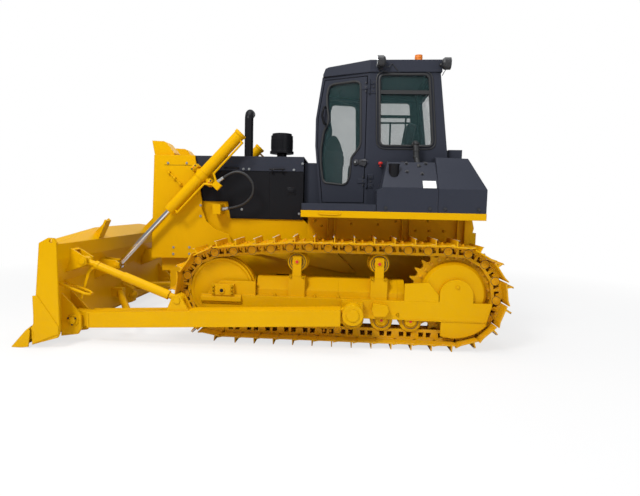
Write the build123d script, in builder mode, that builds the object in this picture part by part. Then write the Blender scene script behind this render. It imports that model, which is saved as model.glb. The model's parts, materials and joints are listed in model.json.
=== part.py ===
"""A sixteen-tonne track-type dozer with a straight tilting blade, in millimetres.

+X points forward to the blade, +Y to the operator's left and +Z up. The origin is on the ground, under
the middle of the whole machine. Each sub-part is one node; the pieces on the left and right sides come
from the same lines of code, run once for each side.
"""
from build123d import *
import os
from math import asin, atan2, cos, degrees, hypot, pi, radians, sin, sqrt, tan

os.makedirs("parts", exist_ok=True)

SIDES = (("left", 1), ("right", -1))

# --- fits ---------------------------------------------------------------------------------------
RUN = 0.5             # radial running clearance of pins, rods and rollers
SEAT_GAP = 0.3        # between curved faces of neighbours that do not move
ACROSS = (90, 0, 0)   # turns a ball so that its poles lie across the machine
SWING = 12            # side clearance of an eye in its clevis, where the joint also twists

# --- undercarriage ------------------------------------------------------------------------------
PITCH = 203.2         # track link, pin to pin
GAUGE = 1880          # between the two track centres
SHOE_WIDTH = 510
GROUSER = 58          # height of the bar on a shoe
GROUSER_THICK = 13
PLATE = 14            # shoe plate
SHOE_SEAT = 58        # pin line to the shoe side of a link
RAIL_SIDE = 50        # pin line to the rolling side of a link
RAIL_IN = 45          # half the space between the two link rails
RAIL_OUT = 95
BUSHING = 33          # radius of a track bushing
TEETH = 27            # the sprocket meets a bushing with every second tooth
SPROCKET_X = -1818
TOOTH_TIP = 26        # tooth height over the pin circle
SPROCKET_HALF = 32
IDLER_PIN_R = 405     # pin circle round the idler
CARRIER_X = (-1049, -185)
CARRIER_Z = 859
CARRIER_R = 102
ROLLER_X0 = -1384     # rearmost track roller
ROLLER_STEP = 300
ROLLERS = 6
ROLLER_R = 95
FLANGE_R = 118
START_PIN_X = -1644   # a pin on the bottom run, just ahead of the sprocket
IDLER_NEAR = 624      # the loop's number of links is the one that puts the idler nearest to this

TRACK_Y = GAUGE / 2
PIN_Z = GROUSER + PLATE + SHOE_SEAT
SPROCKET_R = PITCH / (2 * sin(2 * pi / TEETH))
SPROCKET_Z = PIN_Z + SPROCKET_R
IDLER_Z = PIN_Z + IDLER_PIN_R
ROLLER_Z = PIN_Z + RAIL_SIDE + ROLLER_R + SEAT_GAP
CARRIER_PIN_R = CARRIER_R + RAIL_SIDE + SEAT_GAP

# --- track frame --------------------------------------------------------------------------------
FRAME_IN = TRACK_Y - 160   # inner face of the frame, from the centre line
FRAME_OUT = TRACK_Y + 160
FRAME_BOTTOM = 290
FRAME_TOP = 490
FRAME_WEB = 404       # underside of the web over the rollers
FRAME_REAR = -2151
FRAME_FRONT = 830
FRAME_BOX_REAR = -1320
FINAL_R = 334         # final drive case
FINAL_OUT = TRACK_Y + 118

# --- hull ---------------------------------------------------------------------------------------
RAIL_HULL_Y = 460     # outer face of a side member
RAIL_HULL_T = 60
HULL_TOP = 950
HULL_BOTTOM = 640
HULL_FRONT = 1500
HULL_REAR = -1150
CASE_REAR = -2180
CASE_HALF = 430
CASE_TOP = 1180
CASE_BOTTOM = 430
BELLY_Z = 410
BELLY_T = 14

# --- front: radiator guard, hood ----------------------------------------------------------------
GUARD_Y = 560
GUARD_T = 20
GUARD_FRONT_TOP = 1553
GUARD_FRONT_LOW = 1593
GUARD_REAR_LOW = 1125
GUARD_LOW = 805
GUARD_TOP = 2010
GUARD_REAR_TOP = 1070
HOOD_REAR = -195
HOOD_Y = 520
HOOD_T = 16
HOOD_LOW = 1840       # lower edge of the hood's side skirt
PANEL_LOW = 1290      # lower edge of the engine side panels
PANEL_STEP_Z = 1485

# --- deck, cab ----------------------------------------------------------------------------------
DECK_FRONT = -220
DECK_REAR = -2081
DECK_Y = 1150
DECK_IN = 560
DECK_LOW = 1338
DECK_MID = 1408
DECK_TOP = 1480
CAB_Y = 720
FACET = 0.40023       # the angled door's turn from the straight side, in radians
CAB_FRONT = -385      # foot and head of the front wall
CAB_BOW = -317        # the front wall leans out to here at mid height
BOW_LOW = 2141
BOW_HIGH = 2443
CAB_B = -905          # where the straight side ends and the angled door begins
CAB_REAR_LOW = -1765
REAR_LEAN_Z = 1980    # the rear wall leans forward above this height
CAB_REAR_TOP = -1650
CAB_TOP = 2900
CAB_WALL = 45
ROOF_TOP = 3027
ROOF_Y = 735
ROOF_FRONT_TOP = 2998
DOOR_LOW = 1500
DOOR_TOP = 2860
DOOR_GAP = 8
DOOR_T = 38
GLASS_T = 6
HINGES = (1735, 2747)  # middles of a door's two hinges
HINGE_OUT = 12        # hinge axis, out from the door's face
HINGE_PIN_R = 7
KNUCKLE_R = 11
KNUCKLE_HALF = 24
LEAF_T = 6

# --- blade and its linkage ----------------------------------------------------------------------
BLADE_HALF = 1694
END_T = 22
BLADE_PIN = (2066, 242)
BLADE_TOP_MID = 1149
EDGE_CLEAR = 3        # cutting edge over the ground when parked
TRUNNION = (-773, 390)
ARM_Y0 = TRACK_Y + 310
ARM_Y1 = TRACK_Y + 515
ARM_H = 162
TONGUE = 110
EYE_R = 92
PIN_R = 36
PIN_PLAY = 20         # the eye's spherical seat lets the pin lean
LINK_PIN_R = 18       # pins of the brace and the cylinders
PIN_LEAN = 6          # the flared hole round such a pin
LINK_BALL_R = 31      # ball on such a pin
BALL_R = 75
EAR_T = 28
BRACE_TOP = (1975, 845)
BRACE_LOW = (992, 475)
BRACE_Y = TRACK_Y + 420
LIFT_EYE = (1942, 722)
LIFT_TRUNNION = (950, 1777)
LIFT_Y = 670
BARREL_R = 64
BARREL_LOW = 886      # barrel's lower end, measured from the rod's eye along the cylinder
BARREL_TOP = 2100
ROD_R = 30


def side_plane(y):
    """A plane facing the right side: its own x runs forward and its own y runs up."""
    return Plane(origin=(0, y, 0), x_dir=(1, 0, 0), z_dir=(0, -1, 0))


def slab(x0, x1, y0, y1, z0, z1, mode=Mode.ADD):
    """A block between two corners, in the open part."""
    with BuildSketch(Plane.XY.offset(z0)) as base:
        with Locations(((x0 + x1) / 2, (y0 + y1) / 2)):
            Rectangle(abs(x1 - x0), abs(y1 - y0))
    extrude(base.sketch, amount=z1 - z0, mode=mode)


def plate_y(points, y0, y1, mode=Mode.ADD):
    """A plate with the given side outline, from y0 to y1."""
    low, high = min(y0, y1), max(y0, y1)
    with BuildSketch(side_plane(high)) as side:
        Polygon(*points, align=None)
    extrude(side.sketch, amount=high - low, mode=mode)


def round_y(x, z, radius, y0, y1, mode=Mode.ADD):
    """A cylinder across the machine, from y0 to y1."""
    low, high = min(y0, y1), max(y0, y1)
    with BuildSketch(side_plane(high)) as side:
        with Locations((x, z)):
            Circle(radius)
    extrude(side.sketch, amount=high - low, mode=mode)


def pin_y(x, z, ball, y, reach):
    """A pin across the machine with a ball at its middle, on which an eye can lean."""
    round_y(x, z, LINK_PIN_R, y - reach, y + reach)
    with Locations((x, y, z)):
        Sphere(ball, rotation=ACROSS)


def ball_seat(x, z, ball, y, width):
    """The seat of that ball in an eye, and the flared hole for its pin."""
    with Locations((x, y, z)):
        Sphere(ball + RUN, rotation=ACROSS, mode=Mode.SUBTRACT)
    round_y(x, z, LINK_PIN_R + PIN_LEAN, y - width, y + width, Mode.SUBTRACT)


def rod(start, end, radius, mode=Mode.ADD):
    """A cylinder between two points."""
    a, b = Vector(*start), Vector(*end)
    with BuildSketch(Plane(origin=a, z_dir=(b - a).normalized())) as end_face:
        Circle(radius)
    extrude(end_face.sketch, amount=(b - a).length, mode=mode)


# Route of a lift cylinder's hose on the left: from its manifold, in a wide loop, back to the hull
HOSE_R = 14
FERRULE_R = 18
HOSE = ((690, 746, 1745), (588, 752, 1819), (455, 748, 1808), (350, 735, 1700), (352, 715, 1568),
        (440, 690, 1470), (548, 662, 1424), (655, 640, 1405))


def hose_point(i, sign):
    x, y, z = HOSE[i]
    return x, sign * y, z


def hose_radii():
    """At each corner of the route, the largest arc that its two runs leave room for."""
    radii = []
    for a, b, c in zip(HOSE, HOSE[1:], HOSE[2:]):
        run_in, run_out = Vector(*b) - Vector(*a), Vector(*c) - Vector(*b)
        half_turn = radians(run_in.get_angle(run_out)) / 2
        radii.append(0.45 * min(run_in.length, run_out.length) / tan(half_turn))
    return radii


def save(part, name):
    part.label = name
    export_step(part, f"parts/{name}.step")


# ================================================================================================
# Track chain: the idler is pushed forward until a whole number of links closes the loop
# ================================================================================================

def belt(circles):
    """Straight runs and arcs round a convex ring of circles, as (length, function) stretches.

    The ring is travelled rearward along the ground, up round the sprocket and forward on top."""
    count = len(circles)
    runs = []
    for i in range(count):
        (ax, az, ar), (bx, bz, br) = circles[i], circles[(i + 1) % count]
        span, heading = hypot(bx - ax, bz - az), atan2(bz - az, bx - ax)
        lean = asin((ar - br) / span)
        normal = heading + pi / 2 - lean
        start = (ax + ar * cos(normal), az + ar * sin(normal))
        end = (bx + br * cos(normal), bz + br * sin(normal))
        runs.append((normal, start, end))
    stretches = []
    for i in range(count):
        normal, start, end = runs[i]
        length = hypot(end[0] - start[0], end[1] - start[1])
        stretches.append((length, lambda s, a=start, b=end, n=length: (
            a[0] + (b[0] - a[0]) * s / n, a[1] + (b[1] - a[1]) * s / n)))
        cx, cz, r = circles[(i + 1) % count]
        turn = (normal - runs[(i + 1) % count][0]) % (2 * pi)
        stretches.append((turn * r, lambda s, x=cx, z=cz, q=r, t=normal: (
            x + q * cos(t - s / q), z + q * sin(t - s / q))))
    return stretches


def point_on(stretches, s):
    total = sum(length for length, _ in stretches)
    s = s % total
    for length, place in stretches:
        if s <= length:
            return place(s)
        s -= length
    return stretches[0][1](0)


def chain(idler_x):
    """Pins laid one pitch apart round the loop, and how far the last falls short of the first."""
    ring = [(SPROCKET_X, SPROCKET_Z, SPROCKET_R)]
    ring += [(x, CARRIER_Z, CARRIER_PIN_R) for x in CARRIER_X]
    ring += [(idler_x, IDLER_Z, IDLER_PIN_R)]
    stretches = belt(ring)
    total = sum(length for length, _ in stretches)
    bottom = total - stretches[-1][0] - stretches[-2][0]
    first = bottom + (idler_x - START_PIN_X)
    places = [first]
    for _ in range(LINKS):
        here = point_on(stretches, places[-1])
        low, high = places[-1] + PITCH * 0.9, places[-1] + PITCH * 1.2
        for _ in range(50):
            mid = (low + high) / 2
            there = point_on(stretches, mid)
            if hypot(there[0] - here[0], there[1] - here[1]) < PITCH:
                low = mid
            else:
                high = mid
        places.append(low)
    return [point_on(stretches, s) for s in places[:-1]], places[-1] - places[0] - total


def links_for(idler_x):
    """The number of links whose loop comes nearest to the given idler place."""
    ring = [(SPROCKET_X, SPROCKET_Z, SPROCKET_R)]
    ring += [(x, CARRIER_Z, CARRIER_PIN_R) for x in CARRIER_X]
    ring += [(idler_x, IDLER_Z, IDLER_PIN_R)]
    return round(sum(length for length, _ in belt(ring)) / PITCH)


LINKS = links_for(IDLER_NEAR)


def closing_idler():
    low, high = 300.0, 900.0
    for _ in range(50):
        mid = (low + high) / 2
        if chain(mid)[1] > 0:
            low = mid
        else:
            high = mid
    return low


IDLER_X = closing_idler()
PINS, CHAIN_ERROR = chain(IDLER_X)
print(f"{LINKS} links close with the idler at x {IDLER_X:.1f} mm, error {CHAIN_ERROR:.4f} mm")


def link_frame(i):
    """Middle of link i, its direction (forward on the ground run) and its outward normal."""
    (ax, az), (bx, bz) = PINS[i], PINS[(i + 1) % LINKS]
    tx, tz = (ax - bx) / PITCH, (az - bz) / PITCH
    return (ax + bx) / 2, (az + bz) / 2, tx, tz, tz, -tx


def in_link(i, points):
    """Points given along and out of link i, in the side view."""
    mx, mz, tx, tz, nx, nz = link_frame(i)
    return [(mx + t * tx + n * nx, mz + t * tz + n * nz) for t, n in points]


LIP = 40              # the shoe's rear lip covers the gap to the next shoe where the track bends
GROUSER_AT = -PITCH / 2 + 50
SHOE = (
    (-PITCH / 2 + 12, SHOE_SEAT),
    (PITCH / 2 - 14, SHOE_SEAT),
    (PITCH / 2 + LIP, SHOE_SEAT + PLATE - 1),
    (PITCH / 2 + LIP, SHOE_SEAT + 2 * PLATE - 2),
    (PITCH / 2 - 14, SHOE_SEAT + PLATE),
    (GROUSER_AT + GROUSER_THICK, SHOE_SEAT + PLATE),
    (GROUSER_AT + GROUSER_THICK - 3, SHOE_SEAT + PLATE + GROUSER),
    (GROUSER_AT + 1, SHOE_SEAT + PLATE + GROUSER),
    (GROUSER_AT - 2, SHOE_SEAT + PLATE),
    (-PITCH / 2 + 12, SHOE_SEAT + PLATE),
)
LINK = (
    (-PITCH / 2, -RAIL_SIDE),
    (PITCH / 2, -RAIL_SIDE),
    (PITCH / 2, SHOE_SEAT - 6),
    (PITCH / 2 - 22, SHOE_SEAT),
    (-PITCH / 2 + 22, SHOE_SEAT),
    (-PITCH / 2, SHOE_SEAT - 6),
)


WINDOWS = (
    ((-66, -20), (-14, -20), (-14, 34), (-60, 34)),
    ((14, -20), (66, -20), (60, 34), (14, 34)),
)


def make_track(y):
    with BuildPart() as track:
        with BuildSketch(side_plane(y + SHOE_WIDTH / 2)):
            for i in range(LINKS):
                Polygon(*in_link(i, SHOE), align=None)
        extrude(amount=SHOE_WIDTH)
        for rail in (RAIL_OUT, -RAIL_IN):
            with BuildSketch(side_plane(y + rail)):
                for i in range(LINKS):
                    Polygon(*in_link(i, LINK), align=None)
                for i in range(LINKS):
                    for window in WINDOWS:
                        Polygon(*in_link(i, window), align=None, mode=Mode.SUBTRACT)
            extrude(amount=RAIL_OUT - RAIL_IN)
        with BuildSketch(side_plane(y + RAIL_IN)):
            with Locations(*PINS):
                Circle(BUSHING)
        extrude(amount=2 * RAIL_IN)
    return track.part


for side, sign in SIDES:
    save(make_track(sign * TRACK_Y), f"track_{side}")


# ================================================================================================
# Undercarriage
# ================================================================================================

def turned_y(x, z, y, profile):
    """A turned piece on a cross shaft: the profile lists radii and places along y."""
    with BuildSketch(Plane(origin=(x, y, z), x_dir=(1, 0, 0), z_dir=(0, 0, 1))) as half:
        Polygon(*profile, align=None)
    revolve(half.sketch, axis=Axis((x, y, z), (0, 1, 0)))


def both_ways(steps):
    """A closed profile from (radius, half width) steps, widest radius change first at the middle."""
    right = []
    for (radius, reach), (inner, _) in zip(steps, steps[1:] + ((0, 0),)):
        right += [(radius, reach), (inner, reach)]
    left = [(radius, -reach) for radius, reach in reversed(right)]
    return right + left


RIM_R = sqrt(IDLER_PIN_R ** 2 - (PITCH / 2) ** 2) - RAIL_SIDE - SEAT_GAP
IDLER_GUIDE_R = IDLER_PIN_R - BUSHING - 12
FRAME_MID = (FRAME_IN + FRAME_OUT) / 2
SHAFT_REACH = (FRAME_OUT - FRAME_IN) / 2 - 20
HUB_R = 200
IDLER_HUB_R = 70
DISC_HALF = 82        # half the thickness of the idler's web
ARM_IN = TRACK_Y + RAIL_OUT + 7        # inner face of a carrier roller's arm
CARRIER_SHAFT = 28


def carrier_height(x):
    """Height of a carrier roller's axis when its tread just meets the lowest link over it."""
    heights = []
    for i in range(LINKS):
        (ax, az), (bx, bz) = sorted((PINS[i], PINS[(i + 1) % LINKS]))
        if az > CARRIER_Z and ax - 40 < x < bx + 40:
            slope = atan2(bz - az, bx - ax)
            rail_z = az + (x - ax) * tan(slope) - RAIL_SIDE / cos(slope)
            heights.append(rail_z - (CARRIER_R + SEAT_GAP) / cos(slope))
    return min(heights)


CARRIERS = [(x, carrier_height(x)) for x in CARRIER_X]

with BuildPart() as idlers:
    for _, sign in SIDES:
        turned_y(IDLER_X, IDLER_Z, sign * TRACK_Y, (
            (0, -SHAFT_REACH), (IDLER_HUB_R, -SHAFT_REACH), (IDLER_HUB_R, -DISC_HALF), (306, -DISC_HALF), (320, -RAIL_OUT),
            (RIM_R, -RAIL_OUT), (RIM_R, -RAIL_IN + 3), (IDLER_GUIDE_R, -RAIL_IN + 3),
            (IDLER_GUIDE_R, RAIL_IN - 3), (RIM_R, RAIL_IN - 3), (RIM_R, RAIL_OUT), (320, RAIL_OUT),
            (306, DISC_HALF), (IDLER_HUB_R, DISC_HALF), (IDLER_HUB_R, SHAFT_REACH), (0, SHAFT_REACH)))
save(idlers.part, "idlers")

with BuildPart() as track_rollers:
    for _, sign in SIDES:
        for i in range(ROLLERS):
            turned_y(ROLLER_X0 + i * ROLLER_STEP, ROLLER_Z, sign * TRACK_Y, both_ways((
                (48, RAIL_IN - 4), (ROLLER_R, RAIL_OUT + 3), (FLANGE_R, RAIL_OUT + 18), (55, SHAFT_REACH))))
save(track_rollers.part, "track_rollers")

with BuildPart() as carrier_rollers:
    for _, sign in SIDES:
        for x, z in CARRIERS:
            turned_y(x, z, sign * TRACK_Y, tuple((r, sign * w) for r, w in (
                (0, -112), (FLANGE_R, -112), (FLANGE_R, -99), (CARRIER_R, -99), (CARRIER_R, -RAIL_IN + 4),
                (62, -RAIL_IN + 4), (62, RAIL_IN - 4), (CARRIER_R, RAIL_IN - 4), (CARRIER_R, 88),
                (60, 96), (CARRIER_SHAFT, 96), (CARRIER_SHAFT, RAIL_OUT + 7), (0, RAIL_OUT + 7))))
save(carrier_rollers.part, "carrier_rollers")

REAR_PIN = min(PINS)
TOOTH_PHASE = degrees(atan2(REAR_PIN[1] - SPROCKET_Z, REAR_PIN[0] - SPROCKET_X))
POCKET = BUSHING + 0.6
FLANK = 66            # half the opening between two teeth, 60 mm out from the pin circle

with BuildPart() as sprockets:
    for _, sign in SIDES:
        with BuildSketch(side_plane(sign * TRACK_Y + SPROCKET_HALF)) as tooth_ring:
            with Locations((SPROCKET_X, SPROCKET_Z)):
                Circle(SPROCKET_R + TOOTH_TIP)
                with PolarLocations(SPROCKET_R, TEETH, start_angle=TOOTH_PHASE):
                    Circle(POCKET, mode=Mode.SUBTRACT)
                    Polygon((-6, -POCKET + 0.6), (60, -FLANK), (60, FLANK), (-6, POCKET - 0.6), align=None,
                            mode=Mode.SUBTRACT)
                Circle(HUB_R + SEAT_GAP, mode=Mode.SUBTRACT)
        extrude(amount=2 * SPROCKET_HALF)
save(sprockets.part, "sprockets")

with BuildPart() as final_drives:
    for _, sign in SIDES:
        case_in = TRACK_Y + SPROCKET_HALF + 10
        turned_y(SPROCKET_X, SPROCKET_Z, 0, tuple((r, sign * w) for r, w in (
            (0, CASE_HALF), (250, CASE_HALF), (250, TRACK_Y - RAIL_OUT - 12),
            (HUB_R + 40, TRACK_Y - SPROCKET_HALF), (HUB_R, TRACK_Y - SPROCKET_HALF),
            (HUB_R, TRACK_Y + SPROCKET_HALF), (HUB_R + 40, TRACK_Y + SPROCKET_HALF), (HUB_R + 60, case_in),
            (FINAL_R - 14, case_in), (FINAL_R, case_in + 14), (FINAL_R, FINAL_OUT - 40),
            (FINAL_R - 30, FINAL_OUT), (0, FINAL_OUT))))
save(final_drives.part, "final_drives")


def along_x(points, x0, x1, sign=1, mode=Mode.ADD):
    """A bar with the given end outline of (y, z) points, from x0 to x1."""
    low, high = min(x0, x1), max(x0, x1)
    with BuildSketch(Plane.YZ.offset(low)) as end_face:
        Polygon(*[(sign * y, z) for y, z in points], align=None)
    extrude(end_face.sketch, amount=high - low, mode=mode)


IDLER_BAY = IDLER_X - IDLER_GUIDE_R - 12    # the frame's box ends here; a fork goes on round the idler
COVER_TOP = 682
POST_HALF = 88
POST_ARM_HALF = 47
POST_ARM_RISE = 66    # a carrier roller's arm rises this much over its axis
LOBE_R = 454
LOBE_FRONT = -1690
BALL_Y = (ARM_Y0 + ARM_Y1) / 2

with BuildPart() as track_frames:
    for _, sign in SIDES:
        outer = (sign * (FRAME_OUT - 20), sign * FRAME_OUT)
        inner = (sign * FRAME_IN, sign * (FRAME_IN + 20))
        plate_y(((FRAME_REAR, FRAME_BOTTOM), (FRAME_REAR - 51, FRAME_TOP), (FRAME_FRONT, FRAME_TOP),
                 (FRAME_FRONT, 383), (FRAME_FRONT - 120, FRAME_BOTTOM)), *outer)
        plate_y(((FRAME_BOX_REAR, FRAME_BOTTOM), (FRAME_BOX_REAR, FRAME_TOP), (FRAME_FRONT, FRAME_TOP),
                 (FRAME_FRONT, 383), (FRAME_FRONT - 120, FRAME_BOTTOM)), *inner)
        slab(FRAME_BOX_REAR, IDLER_BAY, sign * FRAME_IN, sign * FRAME_OUT, FRAME_WEB, FRAME_TOP)
        along_x(((805, FRAME_TOP), (1030, FRAME_TOP), (1030, 556), (920, COVER_TOP), (840, COVER_TOP),
                 (805, 640)), FRAME_BOX_REAR, IDLER_BAY, sign)
        # idler bearing block and its cover plate on the outer fork arm
        plate_y(((IDLER_BAY, FRAME_TOP - 60), (IDLER_BAY, 640), (IDLER_X, 640), (IDLER_X + 110, 560),
                 (IDLER_X + 150, FRAME_TOP), (IDLER_X + 150, FRAME_TOP - 60)),
                sign * (TRACK_Y + RAIL_OUT + 12), sign * (FRAME_OUT - 20))
        round_y(IDLER_X, IDLER_Z, IDLER_HUB_R + 2, sign * (FRAME_IN + 20), sign * (FRAME_OUT - 20), Mode.SUBTRACT)
        slab(476, 717, sign * (FRAME_OUT - 20), sign * (FRAME_OUT + 26), FRAME_TOP, 608)
        slab(397, 831, sign * FRAME_OUT, sign * (FRAME_OUT + 14), 402, 498)
        slab(397, 831, sign * FRAME_OUT, sign * (FRAME_OUT + 30), 425, 474)
        round_y(606, 541, 34, sign * (FRAME_OUT + 20), sign * (FRAME_OUT + 36))
        # carrier roller posts
        for x, z in CARRIERS:
            slab(x - POST_HALF, x + POST_HALF, sign * 900, sign * 1062, FRAME_TOP, 708)
            slab(x - POST_ARM_HALF, x + POST_ARM_HALF, sign * ARM_IN, sign * (ARM_IN + 22), 708,
                 z + POST_ARM_RISE)
        # rear guard under the final drive, and the cap that carries its outer end
        with BuildSketch(side_plane(max(outer))) as lobe:
            with Locations((SPROCKET_X, SPROCKET_Z)):
                Circle(LOBE_R)
            with Locations(((LOBE_FRONT + FRAME_REAR) / 2, FRAME_BOTTOM - 100)):
                Rectangle(LOBE_FRONT - FRAME_REAR, 200, mode=Mode.INTERSECT)
        extrude(amount=20)
        plate_y(((SPROCKET_X - 190, FRAME_TOP), (SPROCKET_X - 190, 560), (SPROCKET_X + 150, 560),
                 (SPROCKET_X + 150, FRAME_TOP)), sign * (FINAL_OUT + 1), sign * FRAME_OUT)
        round_y(SPROCKET_X - 20, 560, 170, sign * (FINAL_OUT + 1), sign * FRAME_OUT)
        # cover over the frame ahead of the final drive, and a lug below it
        plate_y(((FRAME_BOX_REAR + 10, FRAME_TOP - 40), (FRAME_BOX_REAR + 10, 668), (-1556, 690), (-1660, 562),
                 (-1665, FRAME_TOP - 40)), sign * (FINAL_OUT + 2), sign * (FRAME_OUT - 4))
        plate_y(((-1134, 447), (-1154, 388), (-1120, 330), (-1004, 323), (-975, 390), (-988, 466)),
                sign * (FRAME_OUT - 5), sign * (FRAME_OUT + 60))
        # cross shaft to the hull, and the ball that the push arm swings on
        round_y(-1440, 420, 80, sign * CASE_HALF, sign * (FRAME_IN + 10))
        slab(-1500, FRAME_BOX_REAR, sign * (FRAME_IN - 30), sign * (FRAME_IN + 20), 330, FRAME_TOP)
        plate_y(((TRUNNION[0] - 110, 300), (TRUNNION[0] - 110, 470), (TRUNNION[0] + 110, 480),
                 (TRUNNION[0] + 110, 300)), sign * FRAME_OUT, sign * (FRAME_OUT + 90))
        round_y(*TRUNNION, 48, sign * (FRAME_OUT + 80), sign * BALL_Y)
        with Locations((TRUNNION[0], sign * BALL_Y, TRUNNION[1])):
            Sphere(BALL_R, rotation=ACROSS)
save(track_frames.part, "track_frames")

with BuildPart() as equalizer_bar:
    slab(-70, 70, -FRAME_IN - 18, FRAME_IN + 18, FRAME_TOP, 590)
    slab(-90, 90, -70, 70, 590, HULL_BOTTOM)
save(equalizer_bar.part, "equalizer_bar")

# ================================================================================================
# Hull, engine, guard and hood
# ================================================================================================

BAR_GAP = 110         # half the gap in the belly where the equalizer bar passes

with BuildPart() as main_frame:
    for _, sign in SIDES:
        slab(HULL_REAR, HULL_FRONT, sign * (RAIL_HULL_Y - RAIL_HULL_T), sign * RAIL_HULL_Y, HULL_BOTTOM, HULL_TOP)
        plate_y(((1100, HULL_TOP - 10), (430, 904), (-640, 688), (-830, 686), (-470, 1040), (-200, PANEL_LOW),
                 (657, PANEL_LOW), (685, PANEL_STEP_Z), (1100, PANEL_STEP_Z)),
                sign * RAIL_HULL_Y, sign * (HOOD_Y - 20))
        slab(-1750, -700, sign * (CASE_HALF - 60), sign * CASE_HALF, HULL_TOP, DECK_MID)
        # port block, with the ferrule of the lift cylinder's hose
        slab(735, 828, sign * (HOOD_Y - 22), sign * 680, 1335, 1450)
        last, before = Vector(*hose_point(-1, sign)), Vector(*hose_point(-2, sign))
        rod(last, last + (last - before).normalized() * 96, FERRULE_R)
    slab(-130, 130, -RAIL_HULL_Y + 10, RAIL_HULL_Y - 10, HULL_BOTTOM, HULL_BOTTOM + 60)
    slab(1380, HULL_FRONT, -RAIL_HULL_Y + 10, RAIL_HULL_Y - 10, HULL_BOTTOM, HULL_BOTTOM + 180)
    slab(CASE_REAR, HULL_REAR, -CASE_HALF, CASE_HALF, CASE_BOTTOM, CASE_TOP)
    for x0, x1 in ((HULL_REAR, -BAR_GAP), (BAR_GAP, 1400)):
        slab(x0, x1, -RAIL_HULL_Y, RAIL_HULL_Y, BELLY_Z, HULL_BOTTOM)
        slab(x0 + BELLY_T * (x0 > 0), x1 - BELLY_T, -RAIL_HULL_Y + BELLY_T, RAIL_HULL_Y - BELLY_T,
             BELLY_Z + BELLY_T, HULL_BOTTOM, Mode.SUBTRACT)
save(main_frame.part, "main_frame")

with BuildPart() as engine_block:
    slab(-120, 1050, -330, 330, HULL_BOTTOM + 60, 1700)
    slab(60, 900, -200, 200, 1700, 1900)
    slab(HULL_REAR, -120, -300, 300, HULL_BOTTOM + 60, 1150)
save(engine_block.part, "engine_block")

COWL_Y = 390
COWL_HALF = 105
GUARD_ARC = ((985, PANEL_STEP_Z), (985, 1400), (930, 1250), (820, 1160), (660, 1100), (600, HULL_TOP))

with BuildPart() as radiator_guard:
    for _, sign in SIDES:
        plate_y(((GUARD_FRONT_LOW, GUARD_LOW), (GUARD_FRONT_TOP, GUARD_TOP), (GUARD_REAR_TOP, GUARD_TOP),
                 *GUARD_ARC, (GUARD_REAR_LOW, GUARD_LOW + 6)), sign * (GUARD_Y - GUARD_T), sign * GUARD_Y)
        slab(1100, HULL_FRONT, sign * RAIL_HULL_Y, sign * (GUARD_Y - GUARD_T), HULL_TOP - 130, HULL_TOP)
        round_y(*LIFT_TRUNNION, 95, sign * HOOD_Y, sign * (GUARD_Y + 5))
        # lamp cowl on the top front edge
        plate_y(((GUARD_FRONT_TOP, GUARD_TOP - 16), (1573, 2025), (1602, 2181), (1462, 2175), (1426, 2154),
                 (1338, 2042), (1338, GUARD_TOP - 16)), sign * (COWL_Y - COWL_HALF), sign * (COWL_Y + COWL_HALF))
        plate_y(((1640, 2027), (1640, 2169), (1470, 2163), (1440, 2140), (1430, 2027)),
                sign * (COWL_Y - COWL_HALF + 12), sign * (COWL_Y + COWL_HALF - 12), Mode.SUBTRACT)
    slab(GUARD_REAR_TOP, GUARD_FRONT_TOP, -GUARD_Y, GUARD_Y, GUARD_TOP - 16, GUARD_TOP)
    slab(1480, 1545, -GUARD_Y + 10, GUARD_Y - 10, GUARD_TOP - 110, GUARD_TOP)
    slab(1500, 1580, -GUARD_Y + 10, GUARD_Y - 10, GUARD_LOW + 10, HULL_TOP + 60)
save(radiator_guard.part, "radiator_guard")

GRILLE_BARS = 14
with BuildPart() as radiator_grille:
    low, high = HULL_TOP + 60, GUARD_TOP - 110
    slab(1500, 1530, -530, 530, low, high)
    slab(1499, 1531, -490, 490, low + 40, high - 40, Mode.SUBTRACT)
    for i in range(GRILLE_BARS):
        z = low + 40 + (i + 0.5) * (high - low - 80) / GRILLE_BARS
        plate_y(((1502, z - 16), (1508, z - 20), (1528, z + 12), (1522, z + 16)), -495, 495)
    slab(1500, 1530, -20, 20, low + 20, high - 20)
    slab(1400, 1490, -500, 500, low, high)
    slab(1480, 1505, -500, -440, low, low + 40)
    slab(1480, 1505, 440, 500, low, low + 40)
save(radiator_grille.part, "radiator_grille")

with BuildPart() as hood:
    slab(HOOD_REAR, GUARD_REAR_TOP - 1, -HOOD_Y, HOOD_Y, HOOD_LOW, GUARD_TOP)
    slab(HOOD_REAR - 1, GUARD_REAR_TOP, -HOOD_Y + HOOD_T, HOOD_Y - HOOD_T, HOOD_LOW - 1, GUARD_TOP - HOOD_T,
         Mode.SUBTRACT)
save(hood.part, "hood")

with BuildPart() as engine_panels:
    for _, sign in SIDES:
        plate_y(((HOOD_REAR, PANEL_LOW), (657, PANEL_LOW), (685, PANEL_STEP_Z), (985, PANEL_STEP_Z),
                 (1040, HOOD_LOW), (HOOD_REAR, HOOD_LOW)), sign * (HOOD_Y - 20), sign * HOOD_Y)
save(engine_panels.part, "engine_panels")

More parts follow.
